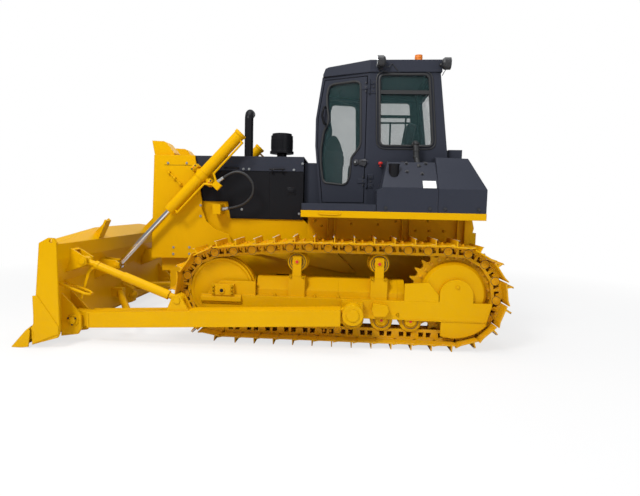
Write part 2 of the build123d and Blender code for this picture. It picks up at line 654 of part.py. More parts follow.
EXHAUST_X = 544
EXHAUST_R = 54
EXHAUST_BEND = 90     # radius of the elbow, along the pipe's axis
EXHAUST_TOP = 2655
ELBOW_Z = EXHAUST_TOP - EXHAUST_R
with BuildPart() as exhaust_pipe:
    with BuildLine(Plane.YZ.offset(EXHAUST_X)) as flue:
        Polyline((0, GUARD_TOP), (0, ELBOW_Z - EXHAUST_BEND))
        RadiusArc((0, ELBOW_Z - EXHAUST_BEND), (-EXHAUST_BEND, ELBOW_Z), -EXHAUST_BEND)
    with BuildSketch(Plane.XY.offset(GUARD_TOP)):
        with Locations((EXHAUST_X, 0)):
            Circle(EXHAUST_R)
    sweep(path=flue.line)
    outlet = -EXHAUST_BEND - 45
    rod((EXHAUST_X, 0.5 - EXHAUST_BEND, ELBOW_Z), (EXHAUST_X, outlet, ELBOW_Z), EXHAUST_R)
    rod((EXHAUST_X, outlet + 80, ELBOW_Z), (EXHAUST_X, outlet, ELBOW_Z), EXHAUST_R - 6, Mode.SUBTRACT)
save(exhaust_pipe.part, "exhaust_pipe")

with BuildPart() as air_precleaner:
    for radius, z0, z1 in ((60, GUARD_TOP, 2084), (146, 2084, 2112), (134, 2112, 2300), (120, 2300, 2324)):
        with BuildSketch(Plane.XY.offset(z0)):
            with Locations((112, 100)):
                Circle(radius)
        extrude(amount=z1 - z0)
save(air_precleaner.part, "air_precleaner")

# ================================================================================================
# Deck, tanks and cab
# ================================================================================================

BOX_FRONT = -990
TANK_FRONT = -1603
FLOOR_HALF = CAB_Y - 5

with BuildPart() as deck:
    slab(BOX_FRONT + 4, DECK_FRONT - 6, -DECK_Y + 5, DECK_Y - 5, DECK_MID, DECK_TOP)
    slab(-1760, BOX_FRONT + 4, -FLOOR_HALF, FLOOR_HALF, DECK_MID, DECK_TOP)
save(deck.part, "deck")

RIBS = (-526, -1355, -1959)
WALL_Y = 600          # the fender's inner wall, beside the track
with BuildPart() as fenders:
    for _, sign in SIDES:
        slab(DECK_REAR, DECK_FRONT, sign * DECK_IN, sign * DECK_Y, DECK_LOW, DECK_MID)
        plate_y(((DECK_FRONT - 40, DECK_LOW + 5), (DECK_FRONT - 40, 1040), (-1700, 1040), (-2015, 1019),
                 (-2075, 1110), (-2105, 1239), (DECK_REAR, DECK_LOW + 5)), sign * WALL_Y, sign * (WALL_Y + 14))
        slab(-1700, -700, sign * CASE_HALF, sign * DECK_IN, DECK_MID - 60, DECK_MID)
        for x in RIBS:
            slab(x - 45, x + 45, sign * (WALL_Y + 10), sign * (WALL_Y + 62), 1052, DECK_LOW + 5)
            slab(x - 33, x + 33, sign * (WALL_Y + 14), sign * (WALL_Y + 63), 1040, DECK_LOW - 12, Mode.SUBTRACT)
save(fenders.part, "fenders")

TANK_KINK = 1646
TANK_TOP = 1985

with BuildPart() as fuel_tank:
    plate_y(((TANK_FRONT, DECK_MID), (TANK_FRONT, TANK_TOP), (-1935, TANK_TOP - 10), (-2077, TANK_KINK),
             (-2077, DECK_MID)), -DECK_Y, DECK_Y)
    with BuildSketch(Plane.YZ.offset(DECK_REAR - 20)) as taper:
        Polygon((-DECK_Y, DECK_MID), (-DECK_Y, TANK_KINK), (-890, TANK_TOP), (890, TANK_TOP),
                (DECK_Y, TANK_KINK), (DECK_Y, DECK_MID), align=None)
    extrude(taper.sketch, amount=700, mode=Mode.INTERSECT)
    slab(-1780, TANK_FRONT + 1, -FLOOR_HALF - 12, FLOOR_HALF + 12, DECK_MID, TANK_TOP + 10, Mode.SUBTRACT)
    slab(-1932, -1785, 540, 640, TANK_TOP - 40, 2093)
save(fuel_tank.part, "fuel_tank")

with BuildPart() as side_boxes:
    for _, sign in SIDES:
        plate_y(((BOX_FRONT, DECK_MID), (BOX_FRONT, 1632), (BOX_FRONT - 45, 1647), (BOX_FRONT - 115, 1940),
                 (TANK_FRONT + 3, 1940), (TANK_FRONT + 3, DECK_MID)), sign * (CAB_Y + 6), sign * DECK_Y)
        along_x(((DECK_Y + 5, 1650), (DECK_Y + 5, 1960), (CAB_Y, 1960), (CAB_Y, 1946), (910, 1930)),
                TANK_FRONT, BOX_FRONT + 2, sign, Mode.SUBTRACT)
save(side_boxes.part, "side_boxes")


def facet_plane(sign, out=0.0):
    """The plane of a door: its own x runs forward from the rear pillar and its own y runs up."""
    ox = CAB_B + out * sin(FACET)
    oy = CAB_Y + out * cos(FACET)
    return Plane(origin=(ox, sign * oy, 0), x_dir=(cos(FACET), -sign * sin(FACET), 0),
                 z_dir=(-sign * sin(FACET), -cos(FACET), 0))


def cab_outline(inset):
    """Plan outline of the cab, moved in by inset."""
    back = inset / cos(FACET)
    turn = inset * tan(FACET / 2)
    rear = CAB_REAR_LOW + inset
    half = CAB_Y - inset
    b = CAB_B - turn
    front = CAB_BOW - inset
    front_half = CAB_Y - back - (front - CAB_B) * tan(FACET)
    return ((rear, half), (b, half), (front, front_half), (front, -front_half), (b, -half), (rear, -half))


DOOR_WINDOW = ((471, 2785), (432, 2805), (159, 2812), (114, 2787), (92, 2162), (106, 2108), (200, 1999),
               (209, 1803), (238, 1725), (275, 1706), (497, 1730), (524, 1762), (550, 1922), (556, 2096),
               (526, 2295), (471, 2391), (466, 2462), (490, 2577), (494, 2704))
DOOR_MARGIN = 26      # frame left beside the door opening
SIDE_WIN = ((-1016, 2868), (-1524, 2868), (-1589, 2130), (-1041, 2130))
FRONT_WIN = (2355, 820, 790)
REAR_WIN = (470, 1040, 760)


def front_face(inset):
    """The front wall's face in the side view, from its head down to its foot, moved in by inset."""
    return ((CAB_FRONT - inset, CAB_TOP), (CAB_BOW - inset, BOW_HIGH), (CAB_BOW - inset, BOW_LOW),
            (CAB_FRONT - inset, DECK_TOP))


def along_facet(x, z):
    """A point of the front wall's corner, given on the door's plane."""
    return (x - CAB_B) / cos(FACET), z


def door_outline(gap, low, high):
    """Outline of the door opening, made smaller by gap; its front edge follows the front wall."""
    edge = DOOR_MARGIN + gap
    head, upper, lower, foot = [along_facet(x, z) for x, z in front_face(0)]
    return ((edge, low), (foot[0] - edge, low), (lower[0] - edge, lower[1]), (upper[0] - edge, upper[1]),
            (head[0] - edge, high), (edge, high))


def door_sheet(sign, depth, out=0.0):
    """The door's outline as a panel of the given depth, measured inward from out."""
    with BuildSketch(facet_plane(sign, out)) as sheet:
        Polygon(*door_outline(DOOR_GAP, DOOR_LOW, DOOR_TOP), align=None)
        Polygon(*DOOR_WINDOW, align=None, mode=Mode.SUBTRACT)
    extrude(sheet.sketch, amount=sign * depth)


def side_window(y):
    with BuildSketch(side_plane(y)) as window:
        Polygon(*SIDE_WIN, align=None)
        fillet(window.vertices(), 40)
    return window.sketch


def hinge_axis(sign):
    return CAB_B + HINGE_OUT * sin(FACET), sign * (CAB_Y + HINGE_OUT * cos(FACET))


def post(x, y, radius, z0, z1, mode=Mode.ADD):
    """An upright cylinder between two heights."""
    with BuildSketch(Plane.XY.offset(z0)) as foot:
        with Locations((x, y)):
            Circle(radius)
    extrude(foot.sketch, amount=z1 - z0, mode=mode)


def fixed_hinge_half(sign, z):
    """The pillar's half of a hinge: two knuckles on a leaf, and the pin."""
    x, y = hinge_axis(sign)
    post(x, y, HINGE_PIN_R, z - 3 * KNUCKLE_HALF, z + 3 * KNUCKLE_HALF)
    for low in (z - 3 * KNUCKLE_HALF, z + KNUCKLE_HALF + 1):
        post(x, y, KNUCKLE_R, low, low + 2 * KNUCKLE_HALF - 1)
        slab(CAB_B - 70, x, sign * CAB_Y, sign * (CAB_Y + LEAF_T), low, low + 2 * KNUCKLE_HALF - 1)


def door_hinge_half(sign, z):
    """The door's half: one knuckle on a strap along the door."""
    x, y = hinge_axis(sign)
    post(x, y, KNUCKLE_R, z - KNUCKLE_HALF, z + KNUCKLE_HALF)
    for s0, thick in ((3, LEAF_T - 1.5), (DOOR_MARGIN + DOOR_GAP, LEAF_T)):
        with BuildSketch(facet_plane(sign, LEAF_T)) as strap:
            Polygon((s0, z - KNUCKLE_HALF), (110, z - KNUCKLE_HALF), (110, z + KNUCKLE_HALF),
                    (s0, z + KNUCKLE_HALF), align=None)
        extrude(strap.sketch, amount=sign * thick)
    post(x, y, HINGE_PIN_R + RUN, z - KNUCKLE_HALF - 1, z + KNUCKLE_HALF + 1, Mode.SUBTRACT)


def rear_plane(depth):
    """The leaning rear wall's plane, moved into the cab; its own y runs up the slope from the lean's foot."""
    lean = atan2(CAB_REAR_TOP - CAB_REAR_LOW, CAB_TOP - REAR_LEAN_Z)
    return Plane(origin=(CAB_REAR_LOW + depth * cos(lean), 0, REAR_LEAN_Z - depth * sin(lean)),
                 x_dir=(0, 1, 0), z_dir=(cos(lean), 0, -sin(lean)))


def cab_block(inset, z0, z1):
    """The cab's plan raised between two heights, with its rear wall leaning forward."""
    with BuildSketch(Plane.XY.offset(z0)) as plan:
        Polygon(*cab_outline(inset), align=None)
    extrude(plan.sketch, amount=z1 - z0)
    (x3, z3), (x2, z2), (x1, _), (x0, _) = front_face(inset)
    plate_y(((CAB_REAR_LOW + inset, z0), (x0, z0), (x1, BOW_LOW), (x2, z2), (x3, z3), (x3, z3 + 10),
             (CAB_REAR_TOP + inset, z3 + 10), (CAB_REAR_LOW + inset, REAR_LEAN_Z)), -CAB_Y, CAB_Y, Mode.INTERSECT)


with BuildPart() as cab_room:
    cab_block(CAB_WALL, DECK_TOP + 20, CAB_TOP + 1)

with BuildPart() as cab_shell:
    cab_block(0, DECK_TOP, CAB_TOP)
    add(cab_room.part, mode=Mode.SUBTRACT)
    for _, sign in SIDES:
        extrude(side_window(sign * (CAB_Y - CAB_WALL / 2) + 40), amount=80, mode=Mode.SUBTRACT)
        with BuildSketch(facet_plane(sign, 20)) as door_opening:
            Polygon(*door_outline(0, DOOR_LOW - DOOR_GAP, DOOR_TOP + DOOR_GAP), align=None)
        extrude(door_opening.sketch, amount=sign * 100, mode=Mode.SUBTRACT)
        for hinge_z in HINGES:
            fixed_hinge_half(sign, hinge_z)
    with BuildSketch(Plane.YZ.offset(CAB_FRONT - 80)) as front_opening:
        with Locations((0, FRONT_WIN[0])):
            RectangleRounded(FRONT_WIN[1], FRONT_WIN[2], 50)
    extrude(front_opening.sketch, amount=200, mode=Mode.SUBTRACT)
    with BuildSketch(rear_plane(-20)) as rear_opening:
        with Locations((0, REAR_WIN[0])):
            RectangleRounded(REAR_WIN[1], REAR_WIN[2], 50)
    extrude(rear_opening.sketch, amount=100, mode=Mode.SUBTRACT)
    slab(CAB_FRONT, HOOD_REAR - 4, -430, 430, DECK_TOP, 1950)
save(cab_shell.part, "cab_shell")

ROOF_NOSE = -392
with BuildPart() as cab_roof:
    with BuildSketch(Plane.XY.offset(CAB_TOP)):
        Polygon((CAB_REAR_TOP - 15, ROOF_Y), (CAB_B, ROOF_Y), (ROOF_NOSE, 530), (ROOF_NOSE, -530),
                (CAB_B, -ROOF_Y), (CAB_REAR_TOP - 15, -ROOF_Y), align=None)
    extrude(amount=ROOF_TOP - CAB_TOP)
    plate_y(((CAB_B, ROOF_TOP), (ROOF_NOSE - 60, ROOF_FRONT_TOP), (ROOF_NOSE - 26, ROOF_FRONT_TOP - 12),
             (ROOF_NOSE + 10, CAB_TOP - 2), (ROOF_NOSE + 10, ROOF_TOP + 10), (CAB_B, ROOF_TOP + 10)),
            -800, 800, Mode.SUBTRACT)
    slab(CAB_REAR_TOP + 80, CAB_B, -CAB_Y + 80, CAB_Y - 80, CAB_TOP, CAB_TOP + 60, Mode.SUBTRACT)
save(cab_roof.part, "cab_roof")

with BuildPart() as windscreen:
    outside, inside = front_face(20), front_face(20 + GLASS_T)
    plate_y(outside + inside[::-1], -CAB_Y / 2 - 60, CAB_Y / 2 + 60)
    with BuildSketch(Plane.YZ.offset(CAB_FRONT - 80)) as screen_outline:
        with Locations((0, FRONT_WIN[0])):
            RectangleRounded(FRONT_WIN[1], FRONT_WIN[2], 50)
    extrude(screen_outline.sketch, amount=200, mode=Mode.INTERSECT)

with BuildPart() as cab_glass:
    for _, sign in SIDES:
        extrude(side_window(sign * (CAB_Y - CAB_WALL / 2) + GLASS_T / 2), amount=GLASS_T)
    add(windscreen.part)
    with BuildSketch(rear_plane(20)) as rear_pane:
        with Locations((0, REAR_WIN[0])):
            RectangleRounded(REAR_WIN[1], REAR_WIN[2], 50)
    extrude(rear_pane.sketch, amount=GLASS_T)
save(cab_glass.part, "cab_glass")

for side, sign in SIDES:
    with BuildPart() as door:
        door_sheet(sign, DOOR_T)
        for hinge_z in HINGES:
            door_hinge_half(sign, hinge_z)
    save(door.part, f"cab_door_{side}")
    with BuildPart() as door_glass:
        with BuildSketch(facet_plane(sign, -DOOR_T / 2)) as pane:
            Polygon(*DOOR_WINDOW, align=None)
        extrude(pane.sketch, amount=sign * GLASS_T)
    save(door_glass.part, f"door_glass_{side}")

SEAT_X = -1180
FLOOR_Z = DECK_TOP + 20
with BuildPart() as operator_seat:
    slab(SEAT_X - 180, SEAT_X + 180, -180, 180, FLOOR_Z, 1780)
    slab(SEAT_X - 240, SEAT_X + 240, -250, 250, 1780, 1900)
    plate_y(((SEAT_X - 240, 1900), (SEAT_X - 130, 1900), (SEAT_X - 220, 2480), (SEAT_X - 310, 2480)), -230, 230)
save(operator_seat.part, "operator_seat")

with BuildPart() as control_console:
    slab(-640, CAB_FRONT - CAB_WALL - 4, -300, 300, FLOOR_Z, 2100)
    for _, sign in SIDES:
        slab(SEAT_X - 200, SEAT_X + 260, sign * 330, sign * 470, FLOOR_Z, 2020)
save(control_console.part, "control_console")

LAMP_Y = 800
LAMPS = ((-1005, -1005, 2990), (-1700, -1640, 2966))    # lamp x, bracket x, z
with BuildPart() as work_lights:
    for _, sign in SIDES:
        for x, foot_x, z in LAMPS:
            rod((x - 32, sign * LAMP_Y, z), (x + 32, sign * LAMP_Y, z), 62)
            rod((x, sign * LAMP_Y, z), (foot_x, sign * (ROOF_Y + 14), z), 12)
            rod((foot_x, sign * (ROOF_Y + 20), z), (foot_x, sign * ROOF_Y, z), 12)
        rod((1495, sign * COWL_Y, GUARD_TOP + 86), (1560, sign * COWL_Y, GUARD_TOP + 86), 62)
        rod((1530, sign * COWL_Y, 2027), (1530, sign * COWL_Y, GUARD_TOP + 60), 14)
save(work_lights.part, "work_lights")

BEACON = (-1473, 300)
with BuildPart() as beacon:
    post(*BEACON, 52, ROOF_TOP, ROOF_TOP + 40)
    post(*BEACON, 43, ROOF_TOP + 40, 3198)
save(beacon.part, "beacon")

DRAWBAR_REAR = -2570
DRAWBAR_BORE = 26
with BuildPart() as drawbar:
    slab(DRAWBAR_REAR, CASE_REAR, -110, 110, 470, 500)
    slab(DRAWBAR_REAR, CASE_REAR, -110, 110, 580, 610)
    slab(CASE_REAR - 180, CASE_REAR, -110, 110, 470, 610)
    slab(CASE_REAR - 30, CASE_REAR, -200, 200, 440, 700)
    with BuildSketch(Plane.XY.offset(400)):
        with Locations((DRAWBAR_REAR + 80, 0)):
            Circle(DRAWBAR_BORE)
    extrude(amount=300, mode=Mode.SUBTRACT)
save(drawbar.part, "drawbar")

# ================================================================================================
# Blade and what carries it
# ================================================================================================

SHEET_TOP = 1042
SECTION_BACK = ((2340, 262), (2440, 97), (2300, 62), (2195, 130), (2195, 640), (2100, 880), (2100, 1030),
                (2262, SHEET_TOP))
BODY_HALF = BLADE_HALF - 10 - END_T
EAR_GAP = TONGUE / 2 + SWING + 11
LIFT_EYE_W = 60
LIFT_EYE_R = 50
BRACE_EYE_W = 70
TOP_SWING = 20        # side clearance of the brace's upper eye
TOP_PLAY = 19         # and its clearance on the pin
TOP_PIN_R = 15
TOP_EYE_R = 48
PAD_HALF = 6
LIFT_SWING = 33       # side clearance of the lift rod's eye
CAP_R = 58            # cap over the blade pin
LINK_CAP_R = 34       # cap over a smaller pin
CENTRE_BALL = (2066, 0, 242)
CENTRE_R = 60
SOCKET_HALF = 50

with BuildPart() as blade_moldboard:
    with BuildSketch(side_plane(BODY_HALF)) as section:
        with BuildLine() as rim:
            Polyline(*SECTION_BACK)
            ThreePointArc(SECTION_BACK[-1], (2250, 640), SECTION_BACK[0])
        make_face()
    extrude(amount=2 * BODY_HALF)
    # spill guard: rises from the ends to a flat middle
    plate_y(((2100, 1030), (2262, SHEET_TOP), (2250, BLADE_TOP_MID), (2234, BLADE_TOP_MID)),
            -BODY_HALF, BODY_HALF)
    for _, sign in SIDES:
        with BuildSketch(Plane.YZ.offset(2050)) as corner:
            Polygon((sign * 620, BLADE_TOP_MID + 1), (sign * BODY_HALF, SHEET_TOP + 1),
                    (sign * (BODY_HALF + 1), BLADE_TOP_MID + 1), align=None)
        extrude(corner.sketch, amount=250, mode=Mode.SUBTRACT)
        # end plate with its tie-down hole
        plate_y(((2273, 1042), (2178, 1094), (2120, 1092), (2096, 1050), (2083, 155), (2105, 112),
                 (2366, 33), (2372, 198), (2343, 246), (2330, 320), (2318, 520)),
                sign * BODY_HALF, sign * (BODY_HALF + END_T))
        # wear plate on its lower half
        plate_y(((2348, 521), (2303, 529), (2088, 225), (2090, 153), (2364, 38), (2335, 142), (2373, 198),
                 (2345, 246), (2343, 330)), sign * (BODY_HALF + END_T - 2), sign * (BLADE_HALF - 2))
        round_y(2151, 1062, 17, sign * (BODY_HALF - 10), sign * (BODY_HALF + END_T + 10), Mode.SUBTRACT)
        # horn on the top edge
        plate_y(((2236, 1060), (2120, 1030), (2015, 1238), (2040, 1262)), sign * 700, sign * 726)
        plate_y(((2120, 1010), (2015, 1238), (2038, 1249), (2144, 1020)), sign * 700, sign * 816)
        # ears for the push arm's pin
        for y0 in (BALL_Y - EAR_GAP - EAR_T, BALL_Y + EAR_GAP):
            plate_y(((2198, 70), (2020, 96), (1985, 160), (1985, 290), (2060, 380), (2198, 520)),
                    sign * y0, sign * (y0 + EAR_T))
        round_y(*BLADE_PIN, PIN_R, sign * (BALL_Y - EAR_GAP - 5), sign * (BALL_Y + EAR_GAP + 5))
        for way in (-1, 1):
            cap = BALL_Y + way * (EAR_GAP + EAR_T)
            round_y(*BLADE_PIN, CAP_R, sign * (cap - way * 2), sign * (cap + way * 14))
        # bracket for the brace or tilt cylinder
        bracket_in = BRACE_Y - BRACE_EYE_W / 2 - TOP_SWING
        bracket_out = BRACE_Y + BRACE_EYE_W / 2 + TOP_SWING
        for y0 in (bracket_in - 24, bracket_out):
            plate_y(((2175, 720), (1990, 785), (1930, 815), (1930, 880), (1975, 905), (2029, 940), (2075, 964),
                     (2104, 975)), sign * y0, sign * (y0 + 24))
        plate_y(((2062, 958), (2075, 964), (2110, 977), (2110, 955), (2072, 945)),
                sign * (bracket_in - 1), sign * (bracket_out + 1))
        round_y(*BRACE_TOP, TOP_PIN_R, sign * (bracket_in - 5), sign * (bracket_out + 5))
        for y0 in (bracket_in - 34, bracket_out + 22):
            round_y(*BRACE_TOP, LINK_CAP_R, sign * y0, sign * (y0 + 12))
        # ears for the lift cylinder's rod, whose own short pin moves between them
        ear_in = LIFT_Y - LIFT_EYE_W / 2 - LIFT_SWING
        ear_out = LIFT_Y + LIFT_EYE_W / 2 + LIFT_SWING
        for y0 in (ear_in - 24, ear_out):
            plate_y(((2198, 560), (2000, 650), (1900, 690), (1900, 750), (1950, 780), (2170, 800)),
                    sign * y0, sign * (y0 + 24))
        for y0 in (ear_in - 34, ear_out + 22):
            round_y(*LIFT_EYE, LINK_CAP_R, sign * y0, sign * (y0 + 12))
    # socket for the centre ball
    plate_y(((2198, 110), (2060, 152), (2030, 242), (2060, 332), (2198, 400)), -SOCKET_HALF, SOCKET_HALF)
    round_y(CENTRE_BALL[0], CENTRE_BALL[2], CENTRE_R + 26, -SOCKET_HALF, SOCKET_HALF)
    slab(1960, 2046, -90, 90, 140, 350, Mode.SUBTRACT)
    with Locations(CENTRE_BALL):
        Sphere(CENTRE_R + RUN, rotation=ACROSS, mode=Mode.SUBTRACT)
save(blade_moldboard.part, "blade_moldboard")

EDGE_SPLIT = 1290
with BuildPart() as cutting_edges:
    for _, sign in SIDES:
        plate_y(((2346, 254), (2370, 268), (2521, 18), (2512, EDGE_CLEAR), (2497, EDGE_CLEAR)),
                0, sign * EDGE_SPLIT)
        plate_y(((2363, 226), (2425, 178), (2575, 10), (2572, EDGE_CLEAR), (2497, EDGE_CLEAR)),
                sign * (EDGE_SPLIT + 2), sign * BLADE_HALF)
        plate_y(((2380, 184), (2425, 178), (2575, 10), (2572, EDGE_CLEAR), (2470, EDGE_CLEAR), (2402, 12)),
                sign * (BLADE_HALF - 10), sign * BLADE_HALF)
save(cutting_edges.part, "cutting_edges")

with BuildPart() as diagonal_struts:
    for _, sign in SIDES:
        rod((2110, sign * 290, 325), (1600, sign * (ARM_Y0 - 95), 215), 40)
        slab(2060, 2195, sign * 240, sign * 340, 270, 380)
save(diagonal_struts.part, "diagonal_struts")

with BuildPart() as centre_ball:
    with Locations(CENTRE_BALL):
        Sphere(CENTRE_R, rotation=ACROSS)
save(centre_ball.part, "centre_ball")

ARM_FRONT_X = 1930
ARM_REAR_X = -655
SOCKET_R = 104
SOCKET_OUT = 84       # the socket covers the ball on its outer side
ARM_LINE = ((ARM_REAR_X, 281), (ARM_FRONT_X, 164), (ARM_FRONT_X, 164 + ARM_H), (ARM_REAR_X, 281 + ARM_H))

for side, sign in SIDES:
    with BuildPart() as push_arm:
        plate_y(ARM_LINE, sign * ARM_Y0, sign * ARM_Y1)
        y0, y1 = sign * (BALL_Y - TONGUE / 2), sign * (BALL_Y + TONGUE / 2)
        plate_y(((ARM_FRONT_X - 20, 180), (BLADE_PIN[0], BLADE_PIN[1] - EYE_R), (BLADE_PIN[0], BLADE_PIN[1] + EYE_R),
                 (ARM_FRONT_X - 20, 318)), y0, y1)
        round_y(*BLADE_PIN, EYE_R, y0, y1)
        round_y(*BLADE_PIN, PIN_R + PIN_PLAY, y0 - sign, y1 + sign, Mode.SUBTRACT)
        plate_y(((ARM_REAR_X + 20, 300), (TRUNNION[0], 300), (TRUNNION[0], 480), (ARM_REAR_X + 20, 430)),
                sign * (BALL_Y - 50), sign * (BALL_Y + 50))
        round_y(*TRUNNION, SOCKET_R, sign * (BALL_Y - 50), sign * (BALL_Y + SOCKET_OUT))
        round_y(*TRUNNION, 62, sign * (BALL_Y + SOCKET_OUT - 1), sign * (BALL_Y + SOCKET_OUT + 10))
        with Locations((TRUNNION[0], sign * BALL_Y, TRUNNION[1])):
            Sphere(BALL_R + RUN, rotation=ACROSS, mode=Mode.SUBTRACT)
        round_y(*TRUNNION, 60, sign * (BALL_Y - 60), sign * BALL_Y, Mode.SUBTRACT)
        # clevis of the brace, on top of the arm
        for c0 in (BRACE_Y - BRACE_EYE_W / 2 - SWING - 24, BRACE_Y + BRACE_EYE_W / 2 + SWING):
            plate_y(((1110, 350), (1040, 515), (990, 535), (950, 515), (860, 355)), sign * c0, sign * (c0 + 24))
        pin_y(*BRACE_LOW, LINK_BALL_R, sign * BRACE_Y, BRACE_EYE_W / 2 + SWING + 20)
        for c0 in (BRACE_Y - BRACE_EYE_W / 2 - SWING - 34, BRACE_Y + BRACE_EYE_W / 2 + SWING + 22):
            round_y(*BRACE_LOW, LINK_CAP_R, sign * c0, sign * (c0 + 12))
    save(push_arm.part, f"push_arm_{side}")


def on_line(start, end, s):
    """The (x, z) point s along the line from start towards end."""
    span = hypot(end[0] - start[0], end[1] - start[1])
    return start[0] + (end[0] - start[0]) * s / span, start[1] + (end[1] - start[1]) * s / span


BRACE_SPAN = hypot(BRACE_TOP[0] - BRACE_LOW[0], BRACE_TOP[1] - BRACE_LOW[1])


def on_brace(s, sign):
    x, z = on_line(BRACE_LOW, BRACE_TOP, s)
    return x, sign * BRACE_Y, z


def upper_bore(y):
    """The wide bore of a brace's upper eye, and the narrow pad by which the eye hangs on its pin."""
    x, z = BRACE_TOP
    round_y(x, z, TOP_PIN_R + TOP_PLAY, y - BRACE_EYE_W, y + BRACE_EYE_W, Mode.SUBTRACT)
    slab(x - PAD_HALF, x + PAD_HALF, y - PAD_HALF, y + PAD_HALF, z + TOP_PIN_R + RUN, z + TOP_PIN_R + TOP_PLAY + 2)


def eye_y(centre, radius, width, y):
    round_y(*centre, radius, y - width / 2, y + width / 2)


with BuildPart() as brace_left:
    eye_y(BRACE_LOW, 48, BRACE_EYE_W, BRACE_Y)
    eye_y(BRACE_TOP, TOP_EYE_R, BRACE_EYE_W, BRACE_Y)
    rod(on_brace(20, 1), on_brace(120, 1), 32)
    rod(on_brace(110, 1), on_brace(620, 1), 47)
    rod(on_brace(600, 1), on_brace(900, 1), 39)
    rod(on_brace(880, 1), on_brace(BRACE_SPAN - 20, 1), 30)
    rod(on_brace(900, 1), on_brace(940, 1), 44)
    # lever that turns the brace, hanging from its nut
    plate_y(((1845, 800), (1885, 815), (1958, 735), (2040, 445), (2018, 440), (1930, 725)),
            BRACE_Y - 6, BRACE_Y + 6)
    ball_seat(*BRACE_LOW, LINK_BALL_R, BRACE_Y, BRACE_EYE_W)
    upper_bore(BRACE_Y)
save(brace_left.part, "brace_left")

TILT_ROD_R = 32
TILT_END = 640        # rod end of the tilt cylinder's barrel, from its lower pin
with BuildPart() as tilt_barrel:
    eye_y(BRACE_LOW, 48, BRACE_EYE_W, -BRACE_Y)
    rod(on_brace(20, -1), on_brace(TILT_END, -1), 70)
    round_y(*BRACE_LOW, 90, -BRACE_Y + BRACE_EYE_W / 2, -BRACE_Y + 80, Mode.SUBTRACT)
    round_y(*BRACE_LOW, 90, -BRACE_Y - BRACE_EYE_W / 2, -BRACE_Y - 80, Mode.SUBTRACT)
    rod(on_brace(150, -1), on_brace(TILT_END + 5, -1), TILT_ROD_R + RUN, Mode.SUBTRACT)
    ball_seat(*BRACE_LOW, LINK_BALL_R, -BRACE_Y, BRACE_EYE_W)
save(tilt_barrel.part, "tilt_barrel")

with BuildPart() as tilt_rod:
    eye_y(BRACE_TOP, TOP_EYE_R, BRACE_EYE_W, -BRACE_Y)
    rod(on_brace(260, -1), on_brace(BRACE_SPAN - 20, -1), TILT_ROD_R)
    upper_bore(-BRACE_Y)
save(tilt_rod.part, "tilt_rod")

LIFT_SPAN = hypot(LIFT_TRUNNION[0] - LIFT_EYE[0], LIFT_TRUNNION[1] - LIFT_EYE[1])
LIFT_DIR = ((LIFT_TRUNNION[0] - LIFT_EYE[0]) / LIFT_SPAN, (LIFT_TRUNNION[1] - LIFT_EYE[1]) / LIFT_SPAN)
ROD_LENGTH = 1365
YOKE_REACH = BARREL_R + 58    # from the barrel's axis to the middle of a trunnion cap
PIPE_R = 12
PIPE_OUT = 66         # the feed pipes run this far outside the barrel's axis, clear of the yoke
MANIFOLD = ((1455, -172), (1530, -172), (1530, -262), (1455, -262))   # along and across the cylinder
TRUNNION_R = 26


def on_lift(s, sign, across=0.0, out=0.0):
    """A point s up the lift cylinder from its rod's eye, moved across it in the side view."""
    return (LIFT_EYE[0] + LIFT_DIR[0] * s + LIFT_DIR[1] * across, sign * (LIFT_Y + out),
            LIFT_EYE[1] + LIFT_DIR[1] * s - LIFT_DIR[0] * across)


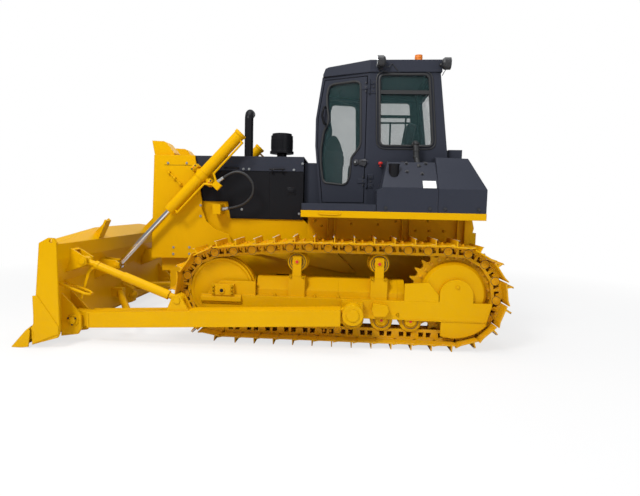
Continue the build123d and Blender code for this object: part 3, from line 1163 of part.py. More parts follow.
for side, sign in SIDES:
    with BuildPart() as lift_yoke:
        y0, y1, y2 = sign * (GUARD_Y + 5.3), sign * (GUARD_Y + 28), sign * (LIFT_Y + 42)
        round_y(*LIFT_TRUNNION, 88, y0, y1)
        for way in (-1, 1):
            corners = [on_lift(LIFT_SPAN + along, sign, way * across) for along, across in (
                (-45, 0), (45, 0), (45, YOKE_REACH + 28), (-45, YOKE_REACH + 28))]
            plate_y([(x, z) for x, _, z in corners], y0, y1)
            corners = [on_lift(LIFT_SPAN + along, sign, way * across) for along, across in (
                (-42, YOKE_REACH - 28), (42, YOKE_REACH - 28), (42, YOKE_REACH + 28), (-42, YOKE_REACH + 28))]
            plate_y([(x, z) for x, _, z in corners], y0, y2)
        rod(on_lift(LIFT_SPAN, sign, -YOKE_REACH - 40), on_lift(LIFT_SPAN, sign, YOKE_REACH + 40),
            TRUNNION_R + RUN, Mode.SUBTRACT)
    save(lift_yoke.part, f"lift_yoke_{side}")

    with BuildPart() as lift_barrel:
        low, high = BARREL_LOW, BARREL_TOP
        rod(on_lift(low, sign), on_lift(high, sign), BARREL_R)
        rod(on_lift(high - 34, sign), on_lift(high, sign), BARREL_R + 6)
        rod(on_lift(LIFT_SPAN - 40, sign), on_lift(LIFT_SPAN + 40, sign), BARREL_R + 7)
        rod(on_lift(LIFT_SPAN, sign, -YOKE_REACH - 26), on_lift(LIFT_SPAN, sign, YOKE_REACH + 26), TRUNNION_R)
        corners = [on_lift(along, sign, across) for along, across in MANIFOLD]
        plate_y([(x, z) for x, _, z in corners], sign * (LIFT_Y + PIPE_OUT - 14), sign * (LIFT_Y + PIPE_OUT + 34))
        for bends in (((high - 70, -40, 0), (high - 70, -98, PIPE_OUT), (1560, -98, PIPE_OUT),
                       (1515, -180, PIPE_OUT)),
                      ((low + 60, -40, 0), (low + 60, -98, PIPE_OUT), (1400, -98, PIPE_OUT),
                       (1470, -185, PIPE_OUT))):
            for start, end in zip(bends, bends[1:]):
                a = Vector(*on_lift(start[0], sign, *start[1:]))
                b = Vector(*on_lift(end[0], sign, *end[1:]))
                past = (b - a).normalized() * 7
                rod(a - past, b + past, PIPE_R)
        first, second = Vector(*hose_point(0, sign)), Vector(*hose_point(1, sign))
        rod(first, first - (second - first).normalized() * 92, FERRULE_R)
        rod(on_lift(low - 5, sign), on_lift(high - 40, sign), ROD_R + RUN, Mode.SUBTRACT)
    save(lift_barrel.part, f"lift_barrel_{side}")

    with BuildPart() as lift_rod:
        eye_y(LIFT_EYE, LIFT_EYE_R, LIFT_EYE_W, sign * LIFT_Y)
        rod(on_lift(30, sign), on_lift(ROD_LENGTH, sign), ROD_R)
        round_y(*LIFT_EYE, LINK_BALL_R - 1, sign * LIFT_Y - LIFT_EYE_W / 2 - 3, sign * LIFT_Y + LIFT_EYE_W / 2 + 3)
    save(lift_rod.part, f"lift_rod_{side}")

for side, sign in SIDES:
    with BuildPart() as hose:
        corners = [Vector(*hose_point(i, sign)) for i in range(len(HOSE))]
        with BuildLine() as route:
            FilletPolyline(*corners, radius=hose_radii())
        hose_length = sum(run.length for run in route.edges())
        with BuildSketch(Plane(origin=corners[0], z_dir=(corners[1] - corners[0]).normalized())):
            Circle(HOSE_R)
        sweep(path=route.line)
    save(hose.part, f"hose_{side}")
    print(f"hose {side}: {hose_length:.0f} mm long, volume over section times length",
          round(hose.part.volume / (pi * HOSE_R ** 2 * hose_length), 4))
print("radii of the hose's bends:", [round(radius) for radius in hose_radii()])
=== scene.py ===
# %% [markdown]
# # A track-type dozer, finished in Blender
# The steelwork comes as a imported frame: every plate, arm, cylinder and track is already in place, in
# metres, with +X towards the blade, +Y to the operator's left and +Z up. This lesson gives that frame its
# paint, its glass and the small parts that a fabricator bolts on last.
#
# The first cell loads the frame.

# %% Load the frame
import json
import math

import bmesh
import bpy
import numpy as np
from mathutils import Matrix, Vector


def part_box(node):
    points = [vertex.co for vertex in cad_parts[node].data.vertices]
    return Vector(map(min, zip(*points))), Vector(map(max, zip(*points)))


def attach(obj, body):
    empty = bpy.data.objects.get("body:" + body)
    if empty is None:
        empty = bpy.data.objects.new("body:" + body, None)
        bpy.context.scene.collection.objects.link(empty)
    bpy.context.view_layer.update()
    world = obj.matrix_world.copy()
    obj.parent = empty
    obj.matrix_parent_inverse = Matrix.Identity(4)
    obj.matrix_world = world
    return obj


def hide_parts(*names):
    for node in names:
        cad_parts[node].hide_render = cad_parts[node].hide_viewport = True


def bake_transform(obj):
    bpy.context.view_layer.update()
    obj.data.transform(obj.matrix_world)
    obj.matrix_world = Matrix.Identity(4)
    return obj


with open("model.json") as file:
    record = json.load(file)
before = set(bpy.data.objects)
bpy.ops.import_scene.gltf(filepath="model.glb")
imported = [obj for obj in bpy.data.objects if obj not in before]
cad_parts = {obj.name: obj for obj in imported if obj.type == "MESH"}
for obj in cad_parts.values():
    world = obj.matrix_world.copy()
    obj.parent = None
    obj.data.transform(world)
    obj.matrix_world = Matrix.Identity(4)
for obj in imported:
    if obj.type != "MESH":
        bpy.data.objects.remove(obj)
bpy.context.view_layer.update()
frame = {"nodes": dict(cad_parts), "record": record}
steel = frame["nodes"]
scene = bpy.context.scene

# %% [markdown]
# ## The camera
# The machine is seen from its left, a little behind the middle and from eye height, by a wide lens about
# six metres away. A camera could be aimed with a constraint; here its three axes are written out instead,
# because the pan, the dip and the small roll are then three plain angles.

# %% Camera
PAN, DIP, ROLL = math.radians(4.65), math.radians(-4.90), math.radians(1.18)
look = Vector((math.sin(PAN) * math.cos(DIP), -math.cos(PAN) * math.cos(DIP), math.sin(DIP)))
level = Vector((-math.cos(PAN), -math.sin(PAN), 0))
upright = level.cross(look)
right = level * math.cos(ROLL) + upright * math.sin(ROLL)
up = upright * math.cos(ROLL) - level * math.sin(ROLL)
lens = bpy.data.cameras.new("lens")
lens.sensor_width = 36
lens.lens = 27.62
lens.shift_x = 0.0328
lens.clip_end = 200
camera = bpy.data.objects.new("camera", lens)
camera.matrix_world = Matrix((
    (right.x, up.x, -look.x, -0.620), (right.y, up.y, -look.y, 6.195), (right.z, up.z, -look.z, 1.450),
    (0, 0, 0, 1)))
scene.collection.objects.link(camera)
scene.camera = camera
print("lens", lens.lens, "mm, camera at", tuple(round(c, 3) for c in camera.matrix_world.translation))

# %% [markdown]
# ## Maths on sockets
# A material is a small sum: paint colour, plus dust where it settles, less shine where it is worn. Wiring
# one Math node at a time hides that sum, so this class wraps a socket and turns `+ - *` into Math nodes.
# Colours never go through it, because a Math node would turn them grey; they are mixed by Mix nodes.


# %% Paint shop
class Wire:
    """An output of a node in one material, which can be used in a sum."""

    def __init__(self, finish, socket):
        self.finish, self.socket = finish, socket

    def _sum(self, operation, left, right):
        return self.finish.node("ShaderNodeMath", {"operation": operation}, {0: left, 1: right})

    def __add__(self, other): return self._sum("ADD", self, other)
    def __radd__(self, other): return self._sum("ADD", other, self)
    def __rsub__(self, other): return self._sum("SUBTRACT", other, self)
    def __mul__(self, other): return self._sum("MULTIPLY", self, other)


class Finish:
    """A material that is made node by node."""

    def __init__(self, name):
        self.material = bpy.data.materials.new(name)
        self.material.use_nodes = True
        self.tree = self.material.node_tree
        self.tree.nodes.clear()
        self.shader = self.tree.nodes.new("ShaderNodeBsdfPrincipled")
        self.output = self.tree.nodes.new("ShaderNodeOutputMaterial")
        self.tree.links.new(self.shader.outputs[0], self.output.inputs["Surface"])
        place = self.tree.nodes.new("ShaderNodeTexCoord")
        self.place = Wire(self, place.outputs["Object"])

    def put(self, socket, value):
        if isinstance(value, Wire):
            self.tree.links.new(value.socket, socket)
        elif isinstance(value, tuple) and len(value) == 3 and socket.type == "RGBA":
            socket.default_value = (*value, 1)
        else:
            socket.default_value = value

    def node(self, kind, settings=None, sockets=None, out=0):
        made = self.tree.nodes.new(kind)
        for key, value in (settings or {}).items():
            if key == "stops":
                ramp = made.color_ramp
                while len(ramp.elements) < len(value):
                    ramp.elements.new(0.5)
                for element, (place, shade) in zip(ramp.elements, value):
                    element.position, element.color = place, (shade, shade, shade, 1)
            else:
                setattr(made, key, value)
        for key, value in (sockets or {}).items():
            self.put(made.inputs[key], value)
        return Wire(self, made.outputs[out])

    def noise(self, scale, detail=3.0, stretch=(1, 1, 1), rough=0.5):
        where = self.node("ShaderNodeMapping", {}, {"Vector": self.place, "Scale": stretch})
        return self.node("ShaderNodeTexNoise", {}, {"Vector": where, "Scale": scale, "Detail": detail,
                                                    "Roughness": rough})

    def ramp(self, value, *stops):
        return self.node("ShaderNodeValToRGB", {"stops": stops}, {0: value})

    def mix(self, share, first, second):
        made = self.tree.nodes.new("ShaderNodeMix")
        made.data_type = "RGBA"
        self.put(made.inputs[0], share)
        self.put(made.inputs[6], first)
        self.put(made.inputs[7], second)
        return Wire(self, made.outputs[2])

    def height(self):
        return self.node("ShaderNodeSeparateXYZ", {}, {0: self.place}, out=2)

    def fit(self, value, low, high, first=0.0, last=1.0):
        """first where the value is low, last where it is high, and a straight line between."""
        return self.node("ShaderNodeMapRange", {"clamp": True}, {
            "Value": value, "From Min": low, "From Max": high, "To Min": first, "To Max": last})

    def edge(self, radius):
        """1 on a sharp outside or inside edge, 0 on a flat face."""
        soft = self.node("ShaderNodeBevel", {"samples": 4}, {"Radius": radius})
        plain = self.node("ShaderNodeNewGeometry", {}, {}, out="Normal")
        same = self.node("ShaderNodeVectorMath", {"operation": "DOT_PRODUCT"}, {0: soft, 1: plain}, out="Value")
        return self.fit(1 - same, 0.02, 0.22)

    def soft_edge(self, radius):
        """A normal that rounds every sharp edge over the radius."""
        return self.node("ShaderNodeBevel", {"samples": 4}, {"Radius": radius})

    def bump(self, height, distance, strength=1.0, normal=None):
        sockets = {"Height": height, "Distance": distance, "Strength": strength}
        if normal is not None:
            sockets["Normal"] = normal
        return self.node("ShaderNodeBump", {}, sockets)

    def set(self, **values):
        for name, value in values.items():
            self.put(self.shader.inputs[name.replace("_", " ")], value)
        return self.material


print("paint shop ready")

# %% [markdown]
# ## Machine enamel
# The yellow is a thick sprayed enamel over welded plate. Close to, it has a slight orange-peel texture, it is
# a little darker where dust has dried low on the machine, and it is lighter along edges, partly paint rubbed thin
# and partly a painted highlight. All three come from noise in the machine's own space, so neighbouring plates share one
# sheet of weather.


# %% Enamel and dark paint
YELLOW = (0.715, 0.385, 0.0003)
YELLOW_DEEP = (0.60, 0.285, 0.0003)
DARK = (0.034, 0.037, 0.050)
BLACK = (0.011, 0.011, 0.013)


def enamel(name, colour, shade, roughness=0.34, edge_wear_and_highlight=(0.80, 0.46, 0.01), dust=0.06, edge_wear_and_highlight_amount=0.30,
           coat=0.015, soft=0.012):
    f = Finish(name)
    patches = f.ramp(f.noise(1.3, 4.0), (0.35, 0.0), (0.75, 1.0))
    streaks = f.ramp(f.noise(9.0, 5.0, (1, 1, 0.18)), (0.5, 0.0), (0.85, 1.0))
    low = f.fit(f.height(), 1.0, 0.0)
    grime = f.ramp(f.noise(22.0, 6.0), (0.42, 0.0), (0.72, 1.0))
    body = f.mix(patches * 0.35, colour, shade)
    body = f.mix(streaks * 0.12, body, shade)
    body = f.mix(low * grime * dust, body, (0.36, 0.25, 0.12))
    # Edges take a lighter colour: partly paint rubbed thin, partly a painted highlight along the edge.
    worn_and_lit_edge = f.edge(0.006) * f.ramp(f.noise(35.0, 4.0), (0.45, 0.0), (0.7, 1.0)) * edge_wear_and_highlight_amount
    body = f.mix(worn_and_lit_edge, body, edge_wear_and_highlight)
    peel = f.noise(260.0, 2.0)
    return f.set(Base_Color=body, Roughness=roughness + low * grime * 0.25 + patches * 0.06,
                 Coat_Weight=coat, Coat_Roughness=0.12, Specular_IOR_Level=0.06,
                 Normal=f.bump(peel, 0.0004, 0.5, f.soft_edge(soft)))


yellow = enamel("yellow_enamel", YELLOW, YELLOW_DEEP)
track_yellow = enamel("track_enamel", (0.72, 0.375, 0.001), (0.48, 0.195, 0.001), roughness=0.42,
                      edge_wear_and_highlight=(0.80, 0.66, 0.40), dust=0.2, edge_wear_and_highlight_amount=0.9, coat=0.05, soft=0.005)
blade_bolt = enamel("worn_bolt", (0.40, 0.17, 0.004), (0.20, 0.10, 0.02), roughness=0.5,
                    edge_wear_and_highlight=(0.45, 0.40, 0.32), edge_wear_and_highlight_amount=0.6, coat=0.05, soft=0.002)
dark = enamel("anthracite_paint", DARK, (0.026, 0.029, 0.040), roughness=0.38, edge_wear_and_highlight=(0.08, 0.08, 0.09),
              dust=0.2, edge_wear_and_highlight_amount=0.3)
black = enamel("black_enamel", BLACK, (0.007, 0.007, 0.009), roughness=0.42, edge_wear_and_highlight=(0.04, 0.04, 0.04),
               dust=0.15, edge_wear_and_highlight_amount=0.3, coat=0.1)
print("paints:", yellow.name, track_yellow.name, dark.name, black.name)

# %% [markdown]
# ## Chrome, glass, rubber and plastics
# The cylinder rods are hard chrome, the panes are glass, and the seat, the lamps and the hoses are plastic and
# rubber. Pictures wrapped round the shapes could colour them, but each of these is even all over, so a colour, a
# roughness and a little noise are enough, and nothing has to be unwrapped.

# %% Chrome, glass and plastics


def chrome_finish():
    f = Finish("hard_chrome")
    rings = f.noise(60.0)
    return f.set(Base_Color=f.mix(rings * 0.3, (0.72, 0.72, 0.74), (0.55, 0.52, 0.48)), Metallic=1.0,
                 Roughness=0.10 + rings * 0.08)


def glass_finish():
    f = Finish("tinted_glass")
    smear = f.ramp(f.noise(3.0, 4.0), (0.4, 0.0), (0.8, 1.0))
    return f.set(Base_Color=f.mix(smear * 0.3, (0.030, 0.075, 0.075), (0.06, 0.10, 0.10)),
                 Roughness=0.04 + smear * 0.03, Alpha=0.24 + smear * 0.04, Coat_Weight=0.5, Coat_Roughness=0.03)


def plastic_finish(name, colour, roughness=0.55, grain=900.0):
    f = Finish(name)
    pores = f.noise(grain, 2.0)
    tone = f.noise(6.0, 3.0)
    return f.set(Base_Color=f.mix(tone * 0.3, colour, tuple(c * 0.7 for c in colour)),
                 Roughness=roughness + pores * 0.1, Normal=f.bump(pores, 0.0003, 0.6))


def plain_metal(name, colour, roughness, metallic=0.9):
    f = Finish(name)
    tone = f.noise(40.0, 3.0)
    return f.set(Base_Color=f.mix(tone * 0.4, colour, tuple(c * 0.6 for c in colour)), Metallic=metallic,
                 Roughness=roughness + tone * 0.12)


def cloth_finish(name, colour):
    """A plain weave: two sets of threads, each a fine wave, with a little fuzz on top."""
    f = Finish(name)
    threads = [f.node("ShaderNodeTexWave", {"bands_direction": d}, {"Vector": f.place, "Scale": 160.0,
                                                                   "Distortion": 0.6}, out="Fac") for d in "XY"]
    fuzz = f.noise(420.0, 2.0)
    weave = threads[0] * 0.5 + threads[1] * 0.5
    return f.set(Base_Color=f.mix(weave * 0.6, colour, tuple(c * 2.2 for c in colour)), Roughness=0.9,
                 Sheen_Weight=0.3, Normal=f.bump(weave + fuzz * 0.4, 0.0008, 0.6))


def lens_finish():
    f = Finish("lens_glass")
    ribs = f.node("ShaderNodeTexWave", {"bands_direction": "Y"}, {"Vector": f.place, "Scale": 24.0}, out="Fac")
    return f.set(Base_Color=f.mix(ribs * 0.5, (0.55, 0.57, 0.58), (0.85, 0.87, 0.88)), Metallic=0.6,
                 Roughness=0.12, Coat_Weight=0.8, Coat_Roughness=0.03, Normal=f.bump(ribs, 0.002, 0.5))


chrome = chrome_finish()
glass = glass_finish()
console_plastic = plastic_finish("grained_plastic", (0.045, 0.045, 0.05))
lamp_body = plastic_finish("lamp_housing", (0.02, 0.02, 0.022), 0.4)
amber = plastic_finish("amber_lens", (0.85, 0.22, 0.01), 0.2, 200.0)
seat_cloth = cloth_finish("seat_cloth", (0.020, 0.020, 0.024))
lens_glass = lens_finish()
zinc = plain_metal("zinc_plate", (0.46, 0.47, 0.47), 0.32)
dark_bolt = plain_metal("blackened_bolt", (0.05, 0.05, 0.055), 0.42, 0.6)
track_bolt = enamel("track_hardware", (0.78, 0.400, 0.001), (0.55, 0.230, 0.001), roughness=0.4,
                    edge_wear_and_highlight=(0.85, 0.62, 0.25), dust=0.1, edge_wear_and_highlight_amount=0.5, coat=0.05, soft=0.002)
# Worn bare steel for the grouser tips, painted light so that it also stands for their highlight.
worn_steel_and_highlight = plain_metal("worn_steel_and_highlight", (0.80, 0.79, 0.74), 0.40, 0.25)
rubber = plastic_finish("black_rubber", (0.017, 0.017, 0.018), 0.48, 500.0)
red_plastic = plastic_finish("red_plastic", (0.62, 0.02, 0.015), 0.4)
white_plate = plastic_finish("white_plate", (0.78, 0.79, 0.76), 0.4)
print("chrome, glass and plastics ready")

# %% [markdown]
# ## Finishing the frame's own steel
# The frame brings the machine as plain solids, and its record says what each is made of. They could be given
# their finishes one by one, but a table from the record's names to the finishes does it in one loop and
# can't miss a node.

# %% Every frame node gets its finish
WEARS = {
    "yellow_paint": yellow, "track_steel": track_yellow, "edge_steel": yellow, "dark_paint": dark,
    "black_paint": black, "chrome_rod": chrome, "window_glass": glass, "seat_cover": console_plastic,
    "console_plastic": console_plastic, "lamp": lamp_body, "beacon_lens": amber, "hose_rubber": rubber,
}
slots = {part["node"]: part["material_slot"] for part in frame["record"]["subparts"]}
for name, piece in steel.items():
    piece.data.materials.clear()
    piece.data.materials.append(WEARS[slots[name]])
print("finished nodes:", len(slots))

# %% [markdown]
# ## Plain steel shapes
# Handles, gaskets, pipes and covers are all a row of equal rings with skin between them: a plate is one
# outline at two heights, a pipe is a circle that walks along a line, a turned part is a circle that grows
# and shrinks. Curves with a bevel could make the pipes, but then each kind of part would need its own
# recipe, so one small class skins rings instead and every shape below is a few lines on top of it.


# %% Skinning rings
class Shape:
    """Closed solids that share one mesh; each method adds one and returns the shape."""

    def __init__(self):
        self.mesh = bmesh.new()

    def skin(self, rings, loop=False):
        rows = [[self.mesh.verts.new(point) for point in ring] for ring in rings]
        count = len(rows[0])
        for low, high in zip(rows, rows[1:] + rows[:1] if loop else rows[1:]):
            for i in range(count):
                j = (i + 1) % count
                self.mesh.faces.new((low[i], low[j], high[j], high[i]))
        if not loop:
            self.mesh.faces.new(rows[0][::-1])
            self.mesh.faces.new(rows[-1])
        return self

    def plate(self, outline, low, high, place=lambda a, b, c: (a, c, b)):
        """An outline (a, b), thick from low to high; by default it stands along the machine."""
        return self.skin([[place(a, b, c) for a, b in outline] for c in (low, high)])

    def block(self, x, y, z):
        return self.plate(((x[0], z[0]), (x[1], z[0]), (x[1], z[1]), (x[0], z[1])), *y)

    def turned(self, foot, direction, steps, sides=24):
        """A turned part: steps are (distance along its axis, radius)."""
        foot, axis = Vector(foot), Vector(direction).normalized()
        side = axis.orthogonal().normalized()
        other = axis.cross(side)
        spokes = [(math.cos(a), math.sin(a)) for a in np.arange(sides) * 2 * math.pi / sides]
        return self.skin([[foot + axis * far + side * (c * r) + other * (s * r) for c, s in spokes]
                          for far, r in steps])

    def pipe(self, points, radius, sides=10, loop=False):
        """A round bar along a line; its rings turn as little as they can from point to point."""
        points = [Vector(p) for p in points]
        count = len(points)
        rings, side = [], None
        for i, point in enumerate(points):
            ahead = points[(i + 1) % count] if loop or i + 1 < count else point
            behind = points[i - 1] if loop or i else point
            along = (ahead - behind).normalized()
            side = along.orthogonal() if side is None else side - along * side.dot(along)
            side.normalize()
            other = along.cross(side)
            rings.append([point + (side * math.cos(a) + other * math.sin(a)) * radius
                          for a in np.arange(sides) * 2 * math.pi / sides])
        return self.skin(rings, loop)

    def to_data(self, name):
        """Hands the mesh over with its normals outward."""
        bmesh.ops.recalc_face_normals(self.mesh, faces=self.mesh.faces)
        data = bpy.data.meshes.new(name)
        self.mesh.to_mesh(data)
        self.mesh.free()
        return data


def baked(piece):
    """A copy of the piece's mesh with its modifiers applied."""
    return bpy.data.meshes.new_from_object(piece.evaluated_get(bpy.context.evaluated_depsgraph_get()))


def new_object(name, data):
    piece = bpy.data.objects.new(name, data)
    scene.collection.objects.link(piece)
    return piece


def mirrored(sign, points):
    """The points on the left side (1) or the right side (-1)."""
    return [(x, sign * y, z) for x, y, z in points]


def span(sign, near, far):
    return sorted((sign * near, sign * far))


def circle(x, y, z, radius, count, turn=0.0):
    """Points on an upright circle that faces sideways."""
    return [(x + radius * math.cos(a), y, z + radius * math.sin(a))
            for a in np.arange(count) * 2 * math.pi / count + turn]


def facing(points, out, along=(1, 0, 0)):
    """Spots for the scatter trees: each point with its outward and its length direction."""
    return [(point, out, along) for point in points]


def rounded(corners, radius, steps=5):
    """A closed outline with its corners rounded, as a list of points of any dimension."""
    out = []
    count = len(corners)
    for i in range(count):
        before, here, after = (np.array(corners[(i + k) % count], float) for k in (-1, 0, 1))
        to_before, to_after = before - here, after - here
        cut = min(radius, 0.45 * np.linalg.norm(to_before), 0.45 * np.linalg.norm(to_after))
        a = here + to_before / np.linalg.norm(to_before) * cut
        b = here + to_after / np.linalg.norm(to_after) * cut
        for t in np.linspace(0, 1, steps):
            out.append(tuple(a * (1 - t) ** 2 + here * 2 * t * (1 - t) + b * t ** 2))
    return out


made = []


def finish(name, mesh, material, body="chassis", bevel=0.0, crease=35):
    """Turns a mesh into a piece on a body: normals outward, edges broken, one material."""
    piece = new_object(name, mesh.to_data(name) if isinstance(mesh, Shape) else mesh)
    if bevel:
        chamfer = piece.modifiers.new("broken edges", "BEVEL")
        chamfer.width, chamfer.segments, chamfer.limit_method = bevel, 2, "ANGLE"
        chamfer.angle_limit = math.radians(30)
        solid = baked(piece)
        piece.modifiers.clear()
        piece.data = solid
    data = piece.data
    data.name = name
    data.materials.clear()
    data.materials.append(material)
    data.shade_smooth()
    data.set_sharp_from_angle(angle=math.radians(crease))
    if body:
        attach(piece, body)
    made.append(piece)
    return piece


BOTH = (("left", 1), ("right", -1))
print("shapes ready")

# %% [markdown]
# ## Fasteners by Geometry Nodes
# A machine like this shows several hundred bolt heads, nuts and ribs. Copying objects by hand would be slow
# to change, so a small node tree sets one item on every vertex of a bare mesh and turns it by the vertex's
# own Euler angles. The item's sizes are inputs of the tree, so one tree serves every bolt on the machine.


# %% Scatter trees
def tree_inputs(name, sizes):
    tree = bpy.data.node_groups.new(name, "GeometryNodeTree")
    tree.interface.new_socket("Geometry", in_out="INPUT", socket_type="NodeSocketGeometry")
    for size in sizes:
        tree.interface.new_socket(size, in_out="INPUT", socket_type="NodeSocketFloat")
    tree.interface.new_socket("Finish", in_out="INPUT", socket_type="NodeSocketMaterial")
    tree.interface.new_socket("Geometry", in_out="OUTPUT", socket_type="NodeSocketGeometry")
    start, end = tree.nodes.new("NodeGroupInput"), tree.nodes.new("NodeGroupOutput")

    def node(kind, settings=None, links=None):
        new = tree.nodes.new(kind)
        for key, value in (settings or {}).items():
            setattr(new, key, value)
        for key, value in (links or {}).items():
            if hasattr(value, "is_output"):
                tree.links.new(value, new.inputs[key])
            else:
                new.inputs[key].default_value = value
        return new

    return tree, start, end, node


def set_on_points(tree, start, end, node, item):
    """Places the item on each vertex, turned by the attribute, and makes it real."""
    turn = node("GeometryNodeInputNamedAttribute", {"data_type": "FLOAT_VECTOR"}, {"Name": "turn"})
    turned = node("FunctionNodeEulerToRotation", {}, {0: turn.outputs[0]})
    spread = node("GeometryNodeInstanceOnPoints", {}, {"Points": start.outputs["Geometry"], "Instance": item,
                                                       "Rotation": turned.outputs[0]})
    real = node("GeometryNodeRealizeInstances", {}, {"Geometry": spread.outputs[0]})
    painted = node("GeometryNodeSetMaterial", {}, {"Geometry": real.outputs[0],
                                                   "Material": start.outputs["Finish"]})
    tree.links.new(painted.outputs[0], end.inputs["Geometry"])
    return tree


def lifted(node, mesh, height):
    shift = node("ShaderNodeCombineXYZ", {}, {"Z": height})
    return node("GeometryNodeTransform", {}, {"Geometry": mesh, "Translation": shift.outputs[0]}).outputs[0]


def bolt_tree(sides):
    """A washer under a head with the given number of sides, and the end of the shank above it."""
    tree, start, end, node = tree_inputs(f"bolt with {sides} sides", ("Head radius", "Head height",
                                                                      "Washer radius", "Washer height"))
    get = start.outputs
    parts = node("GeometryNodeJoinGeometry")

    def maths(operation, first, second):
        return node("ShaderNodeMath", {"operation": operation}, {0: first, 1: second}).outputs[0]

    def disc(count, radius, height, middle):
        new = node("GeometryNodeMeshCylinder", {}, {"Vertices": count, "Radius": radius, "Depth": height})
        tree.links.new(lifted(node, new.outputs["Mesh"], middle), parts.inputs[0])

    thick, high = get["Washer height"], get["Head height"]
    disc(16, get["Washer radius"], thick, maths("MULTIPLY", thick, 0.5))
    disc(sides, get["Head radius"], high, maths("ADD", maths("MULTIPLY", high, 0.5), thick))
    disc(12, maths("MULTIPLY", get["Head radius"], 0.5), high, maths("ADD", high, thick))
    return set_on_points(tree, start, end, node, parts.outputs[0])


def bar_tree():
    """A flat bar: ribs, louvres and clips."""
    tree, start, end, node = tree_inputs("bar", ("Length", "Width", "Height"))
    size = node("ShaderNodeCombineXYZ", {}, {"X": start.outputs["Length"], "Y": start.outputs["Width"],
                                             "Z": start.outputs["Height"]})
    cube = node("GeometryNodeMeshCube", {}, {"Size": size.outputs[0]})
    half = node("ShaderNodeMath", {"operation": "MULTIPLY"}, {0: start.outputs["Height"], 1: 0.5})
    return set_on_points(tree, start, end, node, lifted(node, cube.outputs["Mesh"], half.outputs[0]))


HEX, ROUND, BAR = bolt_tree(6), bolt_tree(14), bar_tree()


def scatter(name, tree, spots, sizes, material, body="chassis"):
    """One mesh of items: spots are (point, outward direction, direction of the item's length)."""
    points, turns = [], []
    for point, out, along in spots:
        z = Vector(out).normalized()
        x = Vector(along)
        x = (x - z * x.dot(z)).normalized()
        points.append(point)
        turns.extend(Matrix((x, z.cross(x), z)).transposed().to_euler())
    data = bpy.data.meshes.new(name)
    data.from_pydata(points, [], [])
    data.attributes.new("turn", "FLOAT_VECTOR", "POINT").data.foreach_set("vector", turns)
    holder = new_object(name, data)
    nodes = holder.modifiers.new("items", "NODES")
    nodes.node_group = tree
    for socket in tree.interface.items_tree:
        if socket.in_out == "INPUT" and socket.name in sizes:
            nodes[socket.identifier] = sizes[socket.name]
        if socket.in_out == "INPUT" and socket.name == "Finish":
            nodes[socket.identifier] = material
    solid = baked(holder)
    bpy.data.objects.remove(holder)
    return finish(name, solid, material, body, crease=25)


def bolts(name, tree, spots, radius, material, height=None, washer=1.45, body="chassis"):
    height = height or radius * 1.1
    return scatter(name, tree, spots, {"Head radius": radius, "Head height": height,
                                       "Washer radius": radius * washer, "Washer height": radius * 0.22},
                   material, body)


print("trees:", HEX.name, ROUND.name, BAR.name)

# %% [markdown]
# ## Track hardware
# Each shoe is held to two link rails by four bolts: round-cornered heads on the ground side, nuts inside the
# windows of the links. The pins that hinge the chain end in low round bosses, each with a dark seal behind
# it, and the tips of the grousers are worn bare steel with a painted highlight, lighter than the steel. The loop
# is worked out again here from the four wheels it wraps, because every item has to sit square to its own link.

# %% The chain's pins
PITCH = 0.2032
TRACK_Y = 0.94
WHEELS = ((-1.818, 0.57061, 0.44061), (-1.049, 0.859, 0.1523), (-0.185, 0.859, 0.1523), (0.624, 0.535, 0.405))
SHOE_FACE = 0.072
SEAT_FACE = 0.035


def chain_pins():
    """Walks the hull of the wheels in steps of one pitch, forward along the ground first."""
    wheels = np.array(WHEELS)
    turn = np.linspace(-math.pi / 2, 1.5 * math.pi, 40001)
    normals = np.stack((np.cos(turn), np.sin(turn)), 1)
    touched = (normals @ wheels[:, :2].T + wheels[:, 2]).argmax(1)
    line = wheels[touched, :2] + normals * wheels[touched, 2:]
    line = np.vstack((line, line[:2]))
    run = np.concatenate(([0], np.cumsum(np.hypot(*np.diff(line, axis=0).T))))
    total = run[-3]

    def at(s):
        return np.array([np.interp(s % total, run, line[:, k]) for k in (0, 1)])

    first = total - (line[0, 0] + 1.644)
    places = [first]
    while len(places) < round(total / PITCH):
        low, high, here = places[-1] + 0.9 * PITCH, places[-1] + 1.2 * PITCH, at(places[-1])
        for _ in range(40):
            middle = (low + high) / 2
            if np.hypot(*(at(middle) - here)) < PITCH:
                low = middle
            else:
                high = middle
        places.append(low)
    return [at(s) for s in places]


PINS = chain_pins()
links = []
for a, b in zip(PINS, PINS[1:] + PINS[:1]):
    along = (b - a) / np.linalg.norm(b - a)
    links.append(((a + b) / 2, along, np.array((along[1], -along[0]))))
print("links:", len(links), " last step", round(float(np.linalg.norm(PINS[0] - PINS[-1])), 4))

# %% Shoe bolts, nuts and pin ends
BOLT_ALONG = (-0.024, 0.044)
RAILS = (-0.070, 0.070)
PIN_ENDS = (-0.095, 0.095)
SEAL_R, SEAL_OUT = 0.0455, 0.0012
TIP_ALONG, TIP_OUT = -0.0461, 0.127     # where a grouser's worn edge, with its painted highlight, lies on its link
GROUND_CLEAR = 0.02                     # tips lower than this stand on the ground


def on_link(link, along, out, y):
    middle, forward, outward = link
    x, z = middle + forward * along + outward * out
    return (x, y, z)


